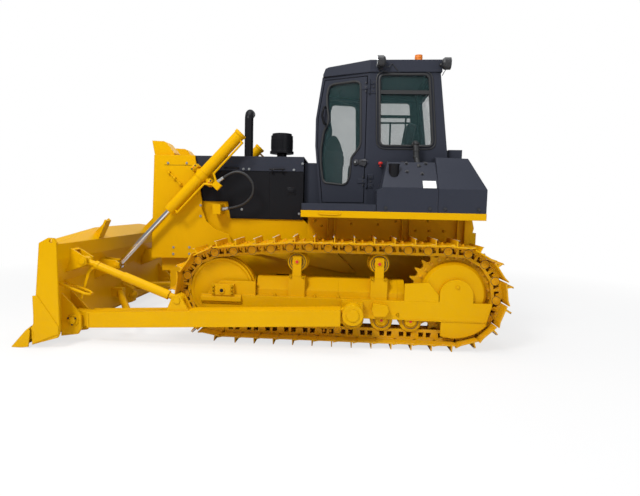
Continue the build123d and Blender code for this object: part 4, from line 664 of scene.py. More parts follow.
for side, sign in BOTH:
    heads, nuts, bosses, tips = [], [], [], []
    seals = Shape()
    centre_y = sign * TRACK_Y
    for link in links:
        _, forward, outward = link
        out3, along3 = (outward[0], 0, outward[1]), (forward[0], 0, forward[1])
        inward = tuple(-c for c in out3)
        for t in BOLT_ALONG:
            for rail in RAILS:
                heads.append((on_link(link, t, SHOE_FACE, centre_y + rail), out3, along3))
                nuts.append((on_link(link, t, SEAT_FACE, centre_y + rail), inward, along3))
        for rail in PIN_ENDS:
            pin = on_link(link, -PITCH / 2, 0, centre_y + rail)
            bosses.append((pin, (0, rail, 0), along3))
            seals.turned(pin, (0, rail, 0), ((0, SEAL_R), (SEAL_OUT, SEAL_R)), 24)
        tip = on_link(link, TIP_ALONG, TIP_OUT, centre_y)
        if tip[2] > GROUND_CLEAR:
            tips.append((tip, out3, (0, 1, 0)))
    bolts(f"shoe_bolts_{side}", HEX, heads, 0.0145, track_bolt, 0.013, 1.15)
    bolts(f"shoe_nuts_{side}", HEX, nuts, 0.0165, track_bolt, 0.020, 1.15)
    bolts(f"pin_ends_{side}", ROUND, bosses, 0.026, track_bolt, 0.0035, 1.60)
    finish(f"pin_seals_{side}", seals, dark_bolt)
    # The tips are worn steel and a painted highlight together.
    scatter(f"grouser_tips_{side}", BAR, tips, {"Length": 0.508, "Width": 0.010, "Height": 0.0033}, worn_steel_and_highlight)
print("shoe bolts a side:", len(heads), " pin ends:", len(bosses), " worn tips with painted highlight:", len(tips))

# %% [markdown]
# ## Sprockets, rollers and the track frame
# The sprocket's rim is bolted to the final drive, each roller shaft ends in a cap with a grease plug, and
# the idler slides in a block held by six bolts. The caps are turned shapes; the bolts use the same tree.

# %% Wheel trim
SPROCKET = (-1.818, 0.57061)
RING_R = 0.372
ROLLERS = tuple(-1.384 + 0.3 * i for i in range(6))
ROLLER_Z = 0.2753
CARRIERS = ((-1.049, 0.859), (-0.185, 0.859))
TEETH = 27
SPROCKET_FACE = TRACK_Y + 0.032
ROLLER_FACE, POST_FACE, FRAME_FACE, COVER_FACE = 1.0795, 1.0635, 1.1, 1.030
carrier_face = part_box("carrier_rollers")[1][1]
for side, sign in BOTH:
    across = (0, sign, 0)
    ring = circle(SPROCKET[0], sign * SPROCKET_FACE, SPROCKET[1], RING_R, TEETH)
    bolts(f"sprocket_bolts_{side}", HEX, facing(ring, across), 0.013, track_bolt)
    caps, plugs, rings = Shape(), Shape(), Shape()
    for x in ROLLERS:
        caps.turned((x, sign * ROLLER_FACE, ROLLER_Z), across,
                    ((0, 0.058), (0.006, 0.058), (0.009, 0.054), (0.009, 0.030), (0.014, 0.026)))
        plugs.turned((x, sign * 1.0925, ROLLER_Z), across, ((0, 0.014), (0.004, 0.014), (0.006, 0.010)), 16)
    for x, z in CARRIERS:
        for r in (0.062, 0.084):
            rings.pipe(circle(x, sign * carrier_face, z, r, 36), 0.0035, 8, True)
        caps.turned((x, sign * POST_FACE, z + 0.004), across, ((0, 0.028), (0.005, 0.028), (0.007, 0.025)))
        plugs.turned((x, sign * 1.0695, z + 0.004), across, ((0, 0.017), (0.004, 0.017), (0.006, 0.012)), 16)
    for x in ROLLERS:
        rings.pipe(circle(x, sign * ROLLER_FACE, ROLLER_Z, 0.078, 36), 0.003, 8, True)
    finish(f"roller_seals_{side}", rings, dark_bolt)
    finish(f"shaft_caps_{side}", caps, yellow, bevel=0.001)
    finish(f"grease_plugs_{side}", plugs, red_plastic)
    heads = [(x, 1.1255, z) for x in (0.497, 0.695) for z in (0.512, 0.549, 0.586)]
    heads += [(x, 1.0615, 0.700) for x in (-1.115, -0.983, -0.251, -0.119)]
    heads += [(x, FRAME_FACE, 0.345) for x in (-1.246, -0.50, -0.30, 0.05, 0.30)]
    bolts(f"frame_bolts_{side}", HEX, facing(mirrored(sign, heads), across), 0.0125, yellow)
    shoulders = [(x, sign * 1.060, 0.491) for x in (0.046, -0.379, -0.628, -1.357)]
    bolts(f"cover_bolts_{side}", HEX, facing(shoulders, (0, 0, 1)), 0.015, yellow)
    # A black disc stands for the idler hole: it is painted shade, the dark inside the hole.
    hole = Shape()
    hole.turned((0.606, sign * 1.135, 0.541), across, ((0, 0.020), (0.0015, 0.020)), 20)
    finish(f"idler_hole_shade_{side}", hole, black)
    lip = Shape()
    lip.block((-2.15, -1.32), span(sign, FRAME_FACE - 0.0015, FRAME_FACE + 0.006), (0.287, 0.299))
    finish(f"frame_lip_{side}", lip, yellow, bevel=0.001)
    seams = Shape()
    for x in (-0.625, 0.274, -1.245):
        seams.block((x - 0.003, x + 0.003), span(sign, COVER_FACE - 0.0015, COVER_FACE + 0.0015), (0.492, 0.556))
        seams.plate(((1.0305, 0.556), (0.9205, 0.682), (0.919, 0.6805), (1.029, 0.5545)), x - 0.003, x + 0.003,
                    lambda a, b, c, s=sign: (c, s * a, b))
    finish(f"cover_seams_{side}", seams, yellow)
    drive = Shape()
    drive.turned((-1.845, sign * 1.0995, 0.652), across, ((0, 0.018), (0.012, 0.018), (0.016, 0.014)), 16)
    finish(f"drive_plug_{side}", drive, yellow)

# %% [markdown]
# ## Radiator guard, hood and exhaust
# The guard is one bent plate held by large zinc bolts. A long rod latches the grille door in front of it, and
# the hood lifts by a bar handle. The air cleaner draws through a ring of upright slots under its cap; thin black
# bars stand for the slots, as painted shade of the openings.

# %% Guard, hood and stack
GUARD_Y = 0.56
HOOD_Y = 0.52
GUARD_BOLTS = ((1.388, 1.915), (1.165, 1.918), (1.325, 0.933), (1.328, 0.855), (1.134, 0.938), (1.134, 0.861),
               (1.0, 1.433), (1.0, 1.308))
HOOD_BOLTS = ((0.521, 1.396), (-0.151, 1.358), (-0.18, 1.932), (-0.082, 1.86), (0.44, 1.863), (0.506, 1.862))
ROD_Y, BAR_Y, GRIP_Y = 0.578, 0.532, 0.556
for side, sign in BOTH:
    heads = [(x, sign * GUARD_Y, z) for x, z in GUARD_BOLTS] + [(x, sign * HOOD_Y, z) for x, z in HOOD_BOLTS]
    bolts(f"zinc_bolts_{side}", ROUND, facing(heads, (0, sign, 0), (1, 0, 0.3)), 0.0105, zinc, 0.010, 1.35)
    rod = Shape()
    rod.pipe(mirrored(sign, ((1.391, ROD_Y, 1.827), (1.218, ROD_Y, 1.655))), 0.008)
    for x, z in ((1.37, 1.806), (1.305, 1.7415), (1.24, 1.677)):
        rod.block((x - 0.014, x + 0.014), span(sign, GUARD_Y + 0.0005, 0.592), (z - 0.014, z + 0.014))
    finish(f"latch_rod_{side}", rod, yellow, bevel=0.002)
    grip = Shape()
    for x, z in ((0.043, 1.816), (0.163, 1.814)):
        grip.pipe(mirrored(sign, ((x, 0.5205, z), (x, GRIP_Y, 1.83), (x, GRIP_Y, 1.862))), 0.007)
    grip.pipe(mirrored(sign, ((0.016, GRIP_Y, 1.864), (0.196, GRIP_Y, 1.863))), 0.009)
    grip.pipe(mirrored(sign, ((0.554, BAR_Y, 1.874), (0.726, BAR_Y, 1.874))), 0.008)
    for x in (0.562, 0.708):
        grip.block((x, x + 0.010), span(sign, 0.5205, BAR_Y), (1.868, 1.880))
    grip.block((-0.108, -0.005), span(sign, 0.5165, 0.5235), (1.575, 1.660))
    grip.block((-0.085, -0.028), span(sign, 0.52, 0.534), (1.60, 1.635))
    finish(f"hood_handle_{side}", grip, black, bevel=0.0015)
    seam = Shape()
    for x0, x1, y, z0, z1 in ((0.198, 0.202, 0.5185, 1.30, 1.835), (-0.19, 0.97, 0.5205, 1.8385, 1.8425),
                              (1.09, 1.43, 0.5585, 1.892, 1.896)):
        seam.block((x0, x1), span(sign, y, y + 0.003), (z0, z1))
    finish(f"panel_seams_{side}", seam, black)

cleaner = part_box("air_precleaner")
centre = [(a + b) / 2 for a, b in zip(*cleaner)]
reach = (cleaner[1][0] - cleaner[0][0]) / 2 - 0.022
slot_shade_z = cleaner[0][2] + 0.6 * (cleaner[1][2] - cleaner[0][2])
# The black bars are painted shade: they stand for the dark openings of the slots.
ribs = []
for a in np.arange(40) * math.pi / 20:
    c, d = math.cos(a), math.sin(a)
    ribs.append(((centre[0] + reach * c, centre[1] + reach * d, slot_shade_z), (c, d, 0), (0, 0, 1)))
scatter("cleaner_slot_shades", BAR, ribs, {"Length": 0.11, "Width": 0.005, "Height": 0.012}, black)

# %% [markdown]
# ## Grille and front
# Air reaches the radiator between upright bars. Thin slanted louvres between them keep stones out; they are
# bars from the same scatter tree, tilted by their own Euler angles.

# %% Grille louvres
low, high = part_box("radiator_grille")
louvre_x = (low[0] + high[0]) / 2 - 0.004
rows = facing([(louvre_x, 0, z) for z in np.arange(low[2] + 0.03, high[2] - 0.03, 0.032)], (0.5, 0, 0.86), (0, 1, 0))
scatter("grille_louvres", BAR, rows, {"Length": high[1] - low[1] - 0.06, "Width": 0.024, "Height": 0.003}, black)
print("louvres:", len(rows))

# %% [markdown]
# ## Cab windows and doors
# Every pane sits in a black rubber gasket, a rounded bead that follows the cut edge of the steel. The bead is
# a ring of circles along the outline. The doors turn on leaf hinges, each with three screws a leaf, and the
# door furniture rides on the door's own body so that it swings too.

# %% Gaskets and door furniture
CAB_B, CAB_Y, FACET = -0.905, 0.720, 0.40023
DOOR_WINDOW = ((471, 2785), (432, 2805), (159, 2812), (114, 2787), (92, 2162), (106, 2108), (200, 1999),
               (209, 1803), (238, 1725), (275, 1706), (497, 1730), (524, 1762), (550, 1922), (556, 2096),
               (526, 2295), (471, 2391), (466, 2462), (490, 2577), (494, 2704))
SIDE_WINDOW = ((-1.016, 2.868), (-1.524, 2.868), (-1.589, 2.130), (-1.041, 2.130))


def on_door(sign):
    """Maps (forward along the door, height, outward) to the machine's frame."""
    c, s = math.cos(FACET), math.sin(FACET)
    return lambda f, z, out: (CAB_B + f * c + out * s, sign * (CAB_Y - f * s + out * c), z)


def grown(outline, margin):
    """The outline with every corner moved outward by a margin."""
    points = [Vector(p) for p in outline]
    area = sum(a.cross(b) for a, b in zip(points, points[1:] + points[:1]))
    out = []
    for i, here in enumerate(points):
        before, after = points[i - 1], points[(i + 1) % len(points)]
        a, b = (here - before).normalized(), (after - here).normalized()
        normal = Vector(((a + b).y, -(a + b).x)).normalized() * (1 if area > 0 else -1)
        out.append(here + normal * margin / max(0.5, math.cos(a.angle(b) / 2)))
    return [tuple(p) for p in out]


HINGES = [z + dz for z in (1.735, 2.747) for dz in (-0.045, 0, 0.045)]
DOOR_PULL = ((0.507, 2.375, 0.001), (0.507, 2.375, 0.045), (0.514, 2.40, 0.058), (0.533, 2.466, 0.058),
             (0.516, 2.545, 0.058), (0.512, 2.565, 0.045), (0.512, 2.565, 0.001))
GASKET_Y = 0.722
for side, sign in BOTH:
    place = on_door(sign)
    door = f"door_{side}"
    outline = [(f / 1000, z / 1000) for f, z in DOOR_WINDOW]
    bead = Shape()
    bead.pipe([place(f, z, 0.001) for f, z in rounded(grown(outline, 0.010), 0.03, 4)], 0.0125, 8, True)
    finish(f"door_gasket_{side}", bead, rubber, door)
    finish(f"door_pull_{side}", Shape().pipe([place(*p) for p in DOOR_PULL], 0.013, 12), black, door)
    out = Vector(place(0, 0, 1)) - Vector(place(0, 0, 0))
    lock = Shape()
    lock.turned(place(0.131, 1.942, 0.0), out,
                ((0, 0.034), (0.014, 0.034), (0.018, 0.030), (0.018, 0.018), (0.030, 0.018), (0.033, 0.013)))
    lock.plate(((0.095, 1.968), (0.012, 1.975), (0.002, 1.93), (0.02, 1.895), (0.095, 1.915)), 0.0, 0.024, place)
    lock.plate(((0.060, 1.958), (-0.020, 1.956), (-0.020, 1.946), (0.060, 1.948)), 0.024, 0.032, place)
    finish(f"door_lock_{side}", lock, dark_bolt, door, 0.0015)
    barrel = Shape()
    barrel.turned(place(0.131, 1.942, 0.031), out, ((0, 0.009), (0.004, 0.009), (0.0045, 0.006)), 12)
    finish(f"lock_barrel_{side}", barrel, zinc, door)
    screws = facing([place(0.042, z, 0.006) for z in HINGES], tuple(out), (0, 0, 1))
    bolts(f"hinge_screws_{side}", ROUND, screws, 0.0085, dark_bolt, 0.004, 1.2, body=door)
    fixed = facing([(-0.945, sign * 0.7265, z) for z in HINGES], (0, sign, 0), (0, 0, 1))
    bolts(f"pillar_screws_{side}", ROUND, fixed, 0.0085, dark_bolt, 0.004, 1.2)
    seal = Shape()
    for margin, radius, corner in ((0.010, 0.014, 0.06), (0.042, 0.0085, 0.10)):
        seal.pipe([(x, sign * GASKET_Y, z) for x, z in rounded(grown(SIDE_WINDOW, margin), corner, 6)],
                  radius, 8, True)
    seal.plate(((-1.02, 2.712), (-1.02, 2.672), (-1.54, 2.668), (-1.54, 2.708)), sign * 0.712, sign * 0.727)
    finish(f"side_gasket_{side}", seal, rubber)

sash = Shape()
for x0, x1, z0, z1 in ((-1.55, -1.03, 2.590, 2.612), (-1.285, -1.262, 2.14, 2.60), (-1.49, -1.468, 2.14, 2.69)):
    sash.block((x0, x1), (-0.712, -0.690), (z0, z1))
finish("window_sash", sash, rubber, bevel=0.002)
print("screws in each door:", len(HINGES))

# %% [markdown]
# ## Behind the door: canister, pipe and labels
# On the side box stand the small things a driver checks each morning: a filter canister, a rubber breather
# pipe, a red battery switch and a blank plate where the service label goes.

# %% Side box trim
BREATHER = ((-1.40, 0.79, 2.145), (-1.404, 0.812, 2.13), (-1.408, 0.822, 2.09), (-1.412, 0.822, 2.02),
            (-1.418, 0.830, 1.97), (-1.424, 0.875, 1.915), (-1.428, 0.945, 1.862))
SLOPE_TOP, SLOPE_FOOT = Vector((0, 0.91, 1.93)), Vector((0, 1.155, 1.65))
GRIP = ((-0.40, 1.1505, 1.385), (-0.41, 1.158, 1.372), (-0.55, 1.158, 1.366), (-0.62, 1.158, 1.372),
        (-0.63, 1.1505, 1.385))
FENDER_BOLTS = ((-0.345, 1.29), (-0.42, 1.23), (-1.25, 1.30), (-1.47, 1.20), (-1.62, 1.20), (-1.78, 1.20),
                (-1.60, 1.31), (-0.75, 1.26), (-1.05, 1.26))
UP = (0, 0, 1)


def on_slope(sign):
    """Maps (x, down the box's slope, outward) to the machine's frame."""
    fall = (SLOPE_FOOT - SLOPE_TOP).normalized()
    outward = Vector((0, -fall.z, fall.y))

    def place(x, down, out):
        p = Vector((x, *SLOPE_TOP.yz)) + fall * down + outward * out
        return (p.x, sign * p.y, p.z)
    return place


for side, sign in BOTH:
    across = (0, sign, 0)
    can = Shape()
    can.turned((-1.166, sign * 1.005, 1.690), UP,
               ((0, 0.020), (0.012, 0.040), (0.05, 0.053), (0.19, 0.053), (0.20, 0.058), (0.212, 0.058)))
    can.turned((-1.03, sign * 0.80, 1.90), UP, ((0, 0.012), (0.01, 0.012)))
    finish(f"filter_canister_{side}", can, black, bevel=0.001)
    tap = Shape()
    tap.turned((-1.045, sign * 0.752, 1.893), UP,
               ((0, 0.009), (0.022, 0.009), (0.024, 0.022), (0.042, 0.025), (0.050, 0.016)))
    finish(f"battery_switch_{side}", tap, red_plastic)
    hose = Shape()
    hose.pipe(mirrored(sign, BREATHER), 0.030, 20)
    for z in (1.985, 2.05, 2.125):
        hose.turned((-1.411, sign * 0.822, z), UP, ((0, 0.034), (0.018, 0.034)))
    hose.block((-1.43, -1.372), span(sign, 0.722, 0.80), (2.118, 2.150))
    finish(f"breather_pipe_{side}", hose, rubber, bevel=0.001)
    rail = Shape()
    rail.pipe(mirrored(sign, ((-1.10, 0.835, 1.925), (-1.58, 0.835, 1.927))), 0.009)
    for x in (-1.12, -1.28, -1.5):
        rail.pipe(mirrored(sign, ((x, 0.845, 1.912), (x, 0.80, 1.935), (x, 0.745, 1.945))), 0.007)
        rail.turned((x, sign * 0.79, 1.925), UP, ((0, 0.022), (0.020, 0.022), (0.024, 0.014)), 16)
    finish(f"service_pipes_{side}", rail, dark_bolt)
    slope = on_slope(sign)
    label = Shape()
    label.plate(((-1.448, 0.268), (-1.581, 0.268), (-1.581, 0.368), (-1.448, 0.368)), 0.0, 0.0020, slope)
    finish(f"blank_label_{side}", label, white_plate)
    plugs = [slope(x, down, 0.0) for x, down in ((-1.30, 0.14), (-1.452, 0.17), (-1.30, 0.02), (-1.50, 0.02))]
    off_slope = tuple(Vector(slope(0, 0, 1)) - Vector(slope(0, 0, 0)))
    bolts(f"slope_plugs_{side}", ROUND, facing(plugs, off_slope), 0.014, dark_bolt, 0.010)
    deck = [(x, sign * 1.15, 1.447) for x in (-1.082, -1.521, -1.671, -2.001)]
    bolts(f"deck_bolts_{side}", ROUND, facing(deck, across), 0.015, dark_bolt, 0.008, 1.25)
    finish(f"deck_grip_{side}", Shape().pipe(mirrored(sign, GRIP), 0.006), yellow)
    wall = [(x, sign * 0.614, z) for x, z in FENDER_BOLTS]
    bolts(f"fender_bolts_{side}", HEX, facing(wall, across), 0.010, yellow)
print("side boxes dressed")

# %% [markdown]
# ## Roof
# The work lamps are black shells with a clear ribbed lens, joined to the cab by thin leads. Two lifting eyes
# stand on the roof, and four ridges run round the beacon.

# %% Lamps, eyes and leads
LENS = ((0, 0.056), (0.004, 0.055), (0.007, 0.040))
LEADS = (
    ((-1.03, 0.80, 2.955), (-1.06, 0.79, 2.935), (-1.10, 0.755, 2.945), (-1.135, 0.742, 2.985),
     (-1.16, 0.742, 2.955), (-1.19, 0.7385, 2.92), (-1.215, 0.732, 2.89)),
    ((-1.00, 0.79, 2.925), (-1.05, 0.745, 2.905), (-1.12, 0.728, 2.892), (-1.19, 0.728, 2.888)),
    ((-1.69, 0.79, 2.91), (-1.675, 0.765, 2.885), (-1.665, 0.74, 2.86)))
lenses, leads, eyes, rings = Shape(), Shape(), Shape(), Shape()
for side, sign in BOTH:
    for x, z, way in ((-1.005, 2.990, 1), (-1.700, 2.966, -1)):
        lenses.turned((x + way * 0.0315, sign * 0.80, z), (way, 0, 0), LENS)
        eyes.turned((x - way * 0.0315, sign * 0.80, z), (-way, 0, 0), ((0, 0.058), (0.018, 0.048), (0.026, 0.024)))
    lenses.turned((1.5595, sign * 0.39, 2.096), (1, 0, 0), LENS)
    for lead in LEADS:
        leads.pipe(mirrored(sign, lead), 0.004, 8)
    eyes.pipe([(-0.724 + 0.028 * math.cos(a), sign * 0.35, 3.045 + 0.05 * max(math.sin(a), -0.45))
               for a in np.arange(20) * math.pi / 10], 0.007, 8, True)
    eyes.block((-1.015, -0.995), span(sign, 0.735, 0.775), (2.915, 2.945))
for z in (3.075, 3.105, 3.135, 3.165):
    rings.turned((-1.473, 0.300, z), UP, ((0, 0.0435), (0.004, 0.0455), (0.008, 0.0435)))
finish("lamp_lenses", lenses, lens_glass, crease=20)
finish("lamp_leads", leads, rubber)
finish("lamp_backs_and_eyes", eyes, lamp_body)
finish("beacon_rings", rings, amber)
print("lamp leads:", 2 * len(LEADS))

# %% [markdown]
# ## Blade and push frame
# The cutting edges wear away and are changed often, so they are held by rows of countersunk plough bolts. The
# end plate carries a foot strap, and each pin of the push frame is kept by a bolted cap.

# %% Blade trim
TRUNNION_X, TRUNNION_Z = -0.773, 0.39     # where the push arms turn
PIN_X, PIN_Z = 2.066, 0.242               # where they hold the blade
PIN_CAPS = ((PIN_X, PIN_Z, 1.486, 0.036), (1.975, 0.845, 1.439, 0.018), (1.942, 0.722, 0.765, 0.018))
strap = Shape()
strap.pipe(((2.19, 1.50, 0.628), (2.12, 1.50, 0.598), (1.92, 1.50, 0.527), (1.885, 1.47, 0.515),
            (1.885, 1.41, 0.515), (1.92, 1.38, 0.527), (2.12, 1.38, 0.598), (2.19, 1.38, 0.628)), 0.013, 12)
finish("foot_strap", strap, yellow, "blade")
for side, sign in BOTH:
    across = (0, sign, 0)
    arm = f"push_arm_{side}"
    ring = facing(circle(TRUNNION_X, sign * 1.4145, TRUNNION_Z, 0.078, 6, 0.3), across)
    bolts(f"socket_bolts_{side}", HEX, ring, 0.011, yellow, body=arm)
    finish(f"arm_weld_{side}", Shape().block((1.901, 1.909), span(sign, 1.4545, 1.4575), (0.167, 0.317)), yellow, arm)
print("foot strap, arm sockets and welds are on")

# %% Plough bolts
# Each edge: its foot, its head, the way it faces, and the bolts as (y, share of the way up).
EDGES = {
    "edge_bolts": (Vector((2.521, 0, 0.018)), Vector((2.370, 0, 0.268)), (0.856, 0, 0.517),
                   [(float(y), share) for share in (0.45, 0.8) for y in np.arange(-1.22, 1.23, 0.1525)]),
    "end_bit_bolts": (Vector((2.575, 0, 0.010)), Vector((2.425, 0, 0.178)), (0.746, 0, 0.666),
                      [(sign * y, share) for sign in (1, -1) for y, share in
                       ((1.34, 0.5), (1.43, 0.5), (1.52, 0.5), (1.61, 0.5), (1.37, 0.82), (1.60, 0.82))]),
}
for name, (foot, head, out, places) in EDGES.items():
    spots = [(foot.lerp(head, share) + Vector((0, y, 0)), out, (0, 1, 0)) for y, share in places]
    bolts(name, ROUND, spots, 0.016, blade_bolt, 0.0015, 1.0, body="blade")
    print(name, len(spots))

# %% Pin caps
KEEPER_R = 0.044
for side, sign in BOTH:
    across = (0, sign, 0)
    rims = Shape()
    rims.turned((PIN_X, sign * 1.4945, PIN_Z), across, ((0, 0.020), (0.003, 0.020)), 20)
    for x, z, y, r in PIN_CAPS:
        rims.turned((x, sign * y, z), across, ((0, r), (0.006, r), (0.009, r - 0.004)), 20)
    finish(f"pin_caps_{side}", rims, yellow, "blade")
    keepers = [(PIN_X + KEEPER_R * math.cos(a), sign * 1.4865, PIN_Z + KEEPER_R * math.sin(a)) for a in (0.5, 2.6, 4.7)]
    bolts(f"pin_keepers_{side}", HEX, facing(keepers, across), 0.007, dark_bolt, body="blade")
print("pin caps a side:", len(PIN_CAPS))

# %% [markdown]
# ## Lift hoses
# A rubber hose feeds each lift cylinder from a port on the frame. A hose is a length of something flexible,
# so it follows one smooth spline through its route, and its skin is swept along that spline. One end belongs
# to the machine and the other to the tilting yoke; the fitting at the port rides on the machine and the one at
# the cylinder on its barrel, while the skin itself is left on no body.

# %% Hoses
HOSE_ROUTE = ((0.690, 0.746, 1.745), (0.588, 0.752, 1.819), (0.455, 0.748, 1.808), (0.350, 0.735, 1.700),
              (0.352, 0.715, 1.568), (0.440, 0.690, 1.470), (0.548, 0.662, 1.424), (0.655, 0.640, 1.405))
HOSE_DIAMETER = 0.028
FERRULE = ((0, 0.0195), (0.050, 0.0195), (0.052, 0.023), (0.075, 0.023), (0.077, 0.0195))


def spline_points(name, route):
    """Points along the smooth spline that has the route as its control points."""
    curve = bpy.data.curves.new(name, "CURVE")
    curve.dimensions = "3D"
    spline = curve.splines.new("NURBS")
    spline.points.add(len(route) - 1)
    for point, place in zip(spline.points, route):
        point.co = (*place, 1)
    spline.order_u = 3
    spline.use_endpoint_u = True
    spline.resolution_u = 10
    holder = new_object(name, curve)
    points = [v.co.copy() for v in baked(holder).vertices]
    bpy.data.objects.remove(holder)
    return points


for side, sign in BOTH:
    route = [(x, sign * y, z) for x, y, z in HOSE_ROUTE]
    path = spline_points(f"hose_line_{side}", route)
    skin = Shape()
    skin.pipe(path, HOSE_DIAMETER / 2, 20)
    hose = finish(f"lift_hose_{side}", skin, rubber, None)
    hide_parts(f"hose_{side}")
    length = sum((b - a).length for a, b in zip(path, path[1:]))
    tuple(route[-1])
    [tuple(p) for p in path[::-1]]
    tuple(route[-1])
    tuple(route[0])
    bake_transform(hose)
    for name, (tip, inner), long, body in (("hose", route[:2], 0.092, f"lift_barrel_{side}"),
                                           ("port", route[:-3:-1], 0.095, "chassis")):
        back = (Vector(tip) - Vector(inner)).normalized()
        ferrule = Shape()
        ferrule.turned(Vector(tip) - back * 0.002, back, (*FERRULE, (long, 0.0195)), 20)
        finish(f"{name}_fitting_{side}", ferrule, zinc, body)
    print("hose", side, round(length, 3), "m on its spline")

# %% [markdown]
# ## Trunnion caps
# Each lift cylinder swings between two pillow caps on its yoke. A cap is held by two bolts with a grease plug
# between them, and it rides with the yoke.

# %% Trunnion caps
LIFT_TRUNNION = Vector((0.950, 0, 1.777))
ALONG = Vector((-0.6850, 0, 0.7286))      # up the cylinder
ACROSS = Vector((0.7286, 0, 0.6850))      # along the trunnion pins
CAP_OUT = 0.122
CAP_FACE = 0.7115
CAP = rounded(((-0.038, -0.024), (0.038, -0.024), (0.038, 0.024), (-0.038, 0.024)), 0.018, 5)
for side, sign in BOTH:
    caps, plugs, studs = Shape(), Shape(), []
    face = Vector((0, sign, 0))
    for way in (-CAP_OUT, CAP_OUT):
        middle = LIFT_TRUNNION + ACROSS * way + face * CAP_FACE
        caps.plate(CAP, 0, 0.0035, lambda a, b, c, m=middle, f=face: m + ALONG * a + ACROSS * b + f * c)
        plugs.turned(middle + face * 0.003, face, ((0, 0.007), (0.003, 0.007), (0.004, 0.004)), 12)
        studs += [(middle + face * 0.003 + ALONG * a, face, ALONG) for a in (-0.027, 0.027)]
    finish(f"yoke_caps_{side}", caps, yellow, f"lift_yoke_{side}", 0.001)
    finish(f"yoke_plugs_{side}", plugs, red_plastic, f"lift_yoke_{side}")
    bolts(f"yoke_bolts_{side}", HEX, studs, 0.008, dark_bolt, 0.0035, 1.2, body=f"lift_yoke_{side}")
print("cap bolts a side:", len(studs))

# %% [markdown]
# ## Seat and controls
# The seat is foam under a woven cover on a sprung pedestal. A cushion made of flat faces looks like a block,
# so each one is remeshed finely and blown up a little by the cloth solver, with a cap on how far it may
# swell, and then smoothed once.

# %% Cushions
SWELL = 0.012


def cushion(name, corners, thickness, place):
    """A padded slab: corners (a, b) of its face, thick along c, put in place by a function."""
    raw = Shape()
    raw.plate(rounded(corners, 0.05, 5), 0.010, thickness - 0.010, place)
    body = new_object(name, raw.to_data(name))
    fine = body.modifiers.new("even mesh", "REMESH")
    fine.mode, fine.voxel_size = "VOXEL", 0.006
    body.data = baked(body)
    body.modifiers.clear()
    rest = np.empty(len(body.data.vertices) * 3)
    body.data.vertices.foreach_get("co", rest)
    cloth = body.modifiers.new("air", "CLOTH")
    cloth.settings.quality = 4
    cloth.settings.use_pressure = True
    cloth.settings.uniform_pressure_force = 4
    cloth.settings.effector_weights.gravity = 0
    cloth.point_cache.frame_end = 20
    for step in range(1, 21):
        scene.frame_set(step)
    blown = baked(body)
    body.modifiers.clear()
    scene.frame_set(1)
    now = np.empty(len(rest))
    blown.vertices.foreach_get("co", now)
    move = (now - rest).reshape(-1, 3)
    far = np.linalg.norm(move, axis=1)
    move *= np.minimum(1, SWELL / np.maximum(far, 1e-9))[:, None]
    blown.vertices.foreach_set("co", (rest.reshape(-1, 3) + move).ravel())
    body.data = blown
    smooth = body.modifiers.new("smooth", "SUBSURF")
    smooth.levels = smooth.render_levels = 1
    soft = baked(body)
    bpy.data.objects.remove(body)
    piece = finish(name, soft, seat_cloth, crease=80)


SEAT_X = -1.18
LEAN = (-0.153, 0.988)


def flat(a, b, c):
    return (SEAT_X + a, b, 1.785 + c)


def leaning(a, b, c):
    return (SEAT_X - 0.235 + b * LEAN[0] + c * LEAN[1], a, 1.905 + b * LEAN[1] - c * LEAN[0])


cushion("seat_cushion", ((-0.22, -0.235), (0.225, -0.235), (0.225, 0.235), (-0.22, 0.235)), 0.115, flat)
cushion("seat_back", ((-0.21, 0.02), (0.21, 0.02), (0.185, 0.555), (-0.185, 0.555)), 0.100, leaning)
stand = Shape()
stand.block((-1.35, -1.01), (-0.17, 0.17), (1.501, 1.53))
for k in range(6):
    stand.block((-1.33 + 0.004 * k, -1.03 - 0.004 * k), (-0.155, 0.155), (1.535 + 0.034 * k, 1.560 + 0.034 * k))
stand.block((-1.30, -1.06), (-0.13, 0.13), (1.52, 1.745))
stand.block((-1.40, -0.96), (-0.22, 0.22), (1.745, 1.780))
stand.block((-1.47, -1.40), (-0.10, 0.10), (1.80, 2.30))
stand = finish("seat_stand", stand, console_plastic, bevel=0.004)
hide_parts("operator_seat")
print("seat and its stand are in")
levers, knobs = Shape(), Shape()
for sign, reach in ((1, 0.12), (-1, 0.10), (-1, -0.02)):
    foot = Vector((SEAT_X + reach, sign * 0.40, 2.018))
    levers.turned(foot, UP, ((0, 0.045), (0.012, 0.040), (0.035, 0.018)), 20)
    levers.pipe([foot + Vector(step) for step in ((0, 0, 0.02), (0.02, 0, 0.10), (0.03, 0, 0.14))], 0.008)
    knobs.turned(foot + Vector((0.028, 0, 0.125)), (0.2, 0, 1),
                 ((0, 0.012), (0.015, 0.022), (0.05, 0.026), (0.075, 0.022), (0.085, 0.010)), 16)
for y in (-0.16, 0.0, 0.16):
    levers.turned((-0.6395, y, 2.01), (-1, 0, 0), ((0, 0.052), (0.008, 0.052), (0.010, 0.047)), 28)
    knobs.turned((-0.6495, y, 2.01), (-1, 0, 0), ((0, 0.044), (0.001, 0.044)), 28)
egg = [(-0.525 + 0.115 * math.cos(a) * (1 - 0.18 * math.sin(a)), 2.03 + 0.255 * math.sin(a))
       for a in np.arange(32) * math.pi / 16]
levers.plate(egg, 0.215, 0.296)
levers.pipe(circle(-0.522, 0.298, 1.989, 0.020, 20), 0.003, 6, True)
levers.pipe(((-0.56, 0.10, 2.745), (-0.60, 0.06, 2.725), (-0.66, 0.0, 2.712), (-0.71, -0.02, 2.700)), 0.010, 10)
levers.pipe(((-0.56, 0.10, 2.745), (-0.57, 0.10, 2.80), (-0.60, 0.10, 2.85)), 0.007, 8)
finish("levers_and_dash", levers, console_plastic, bevel=0.002)
finish("lever_knobs", knobs, black)

# %% [markdown]
# ## Rear
# The tank is filled through a capped neck on its sloping rear face, and two grab irons help the driver up.
# The drawbar keeps its pin.

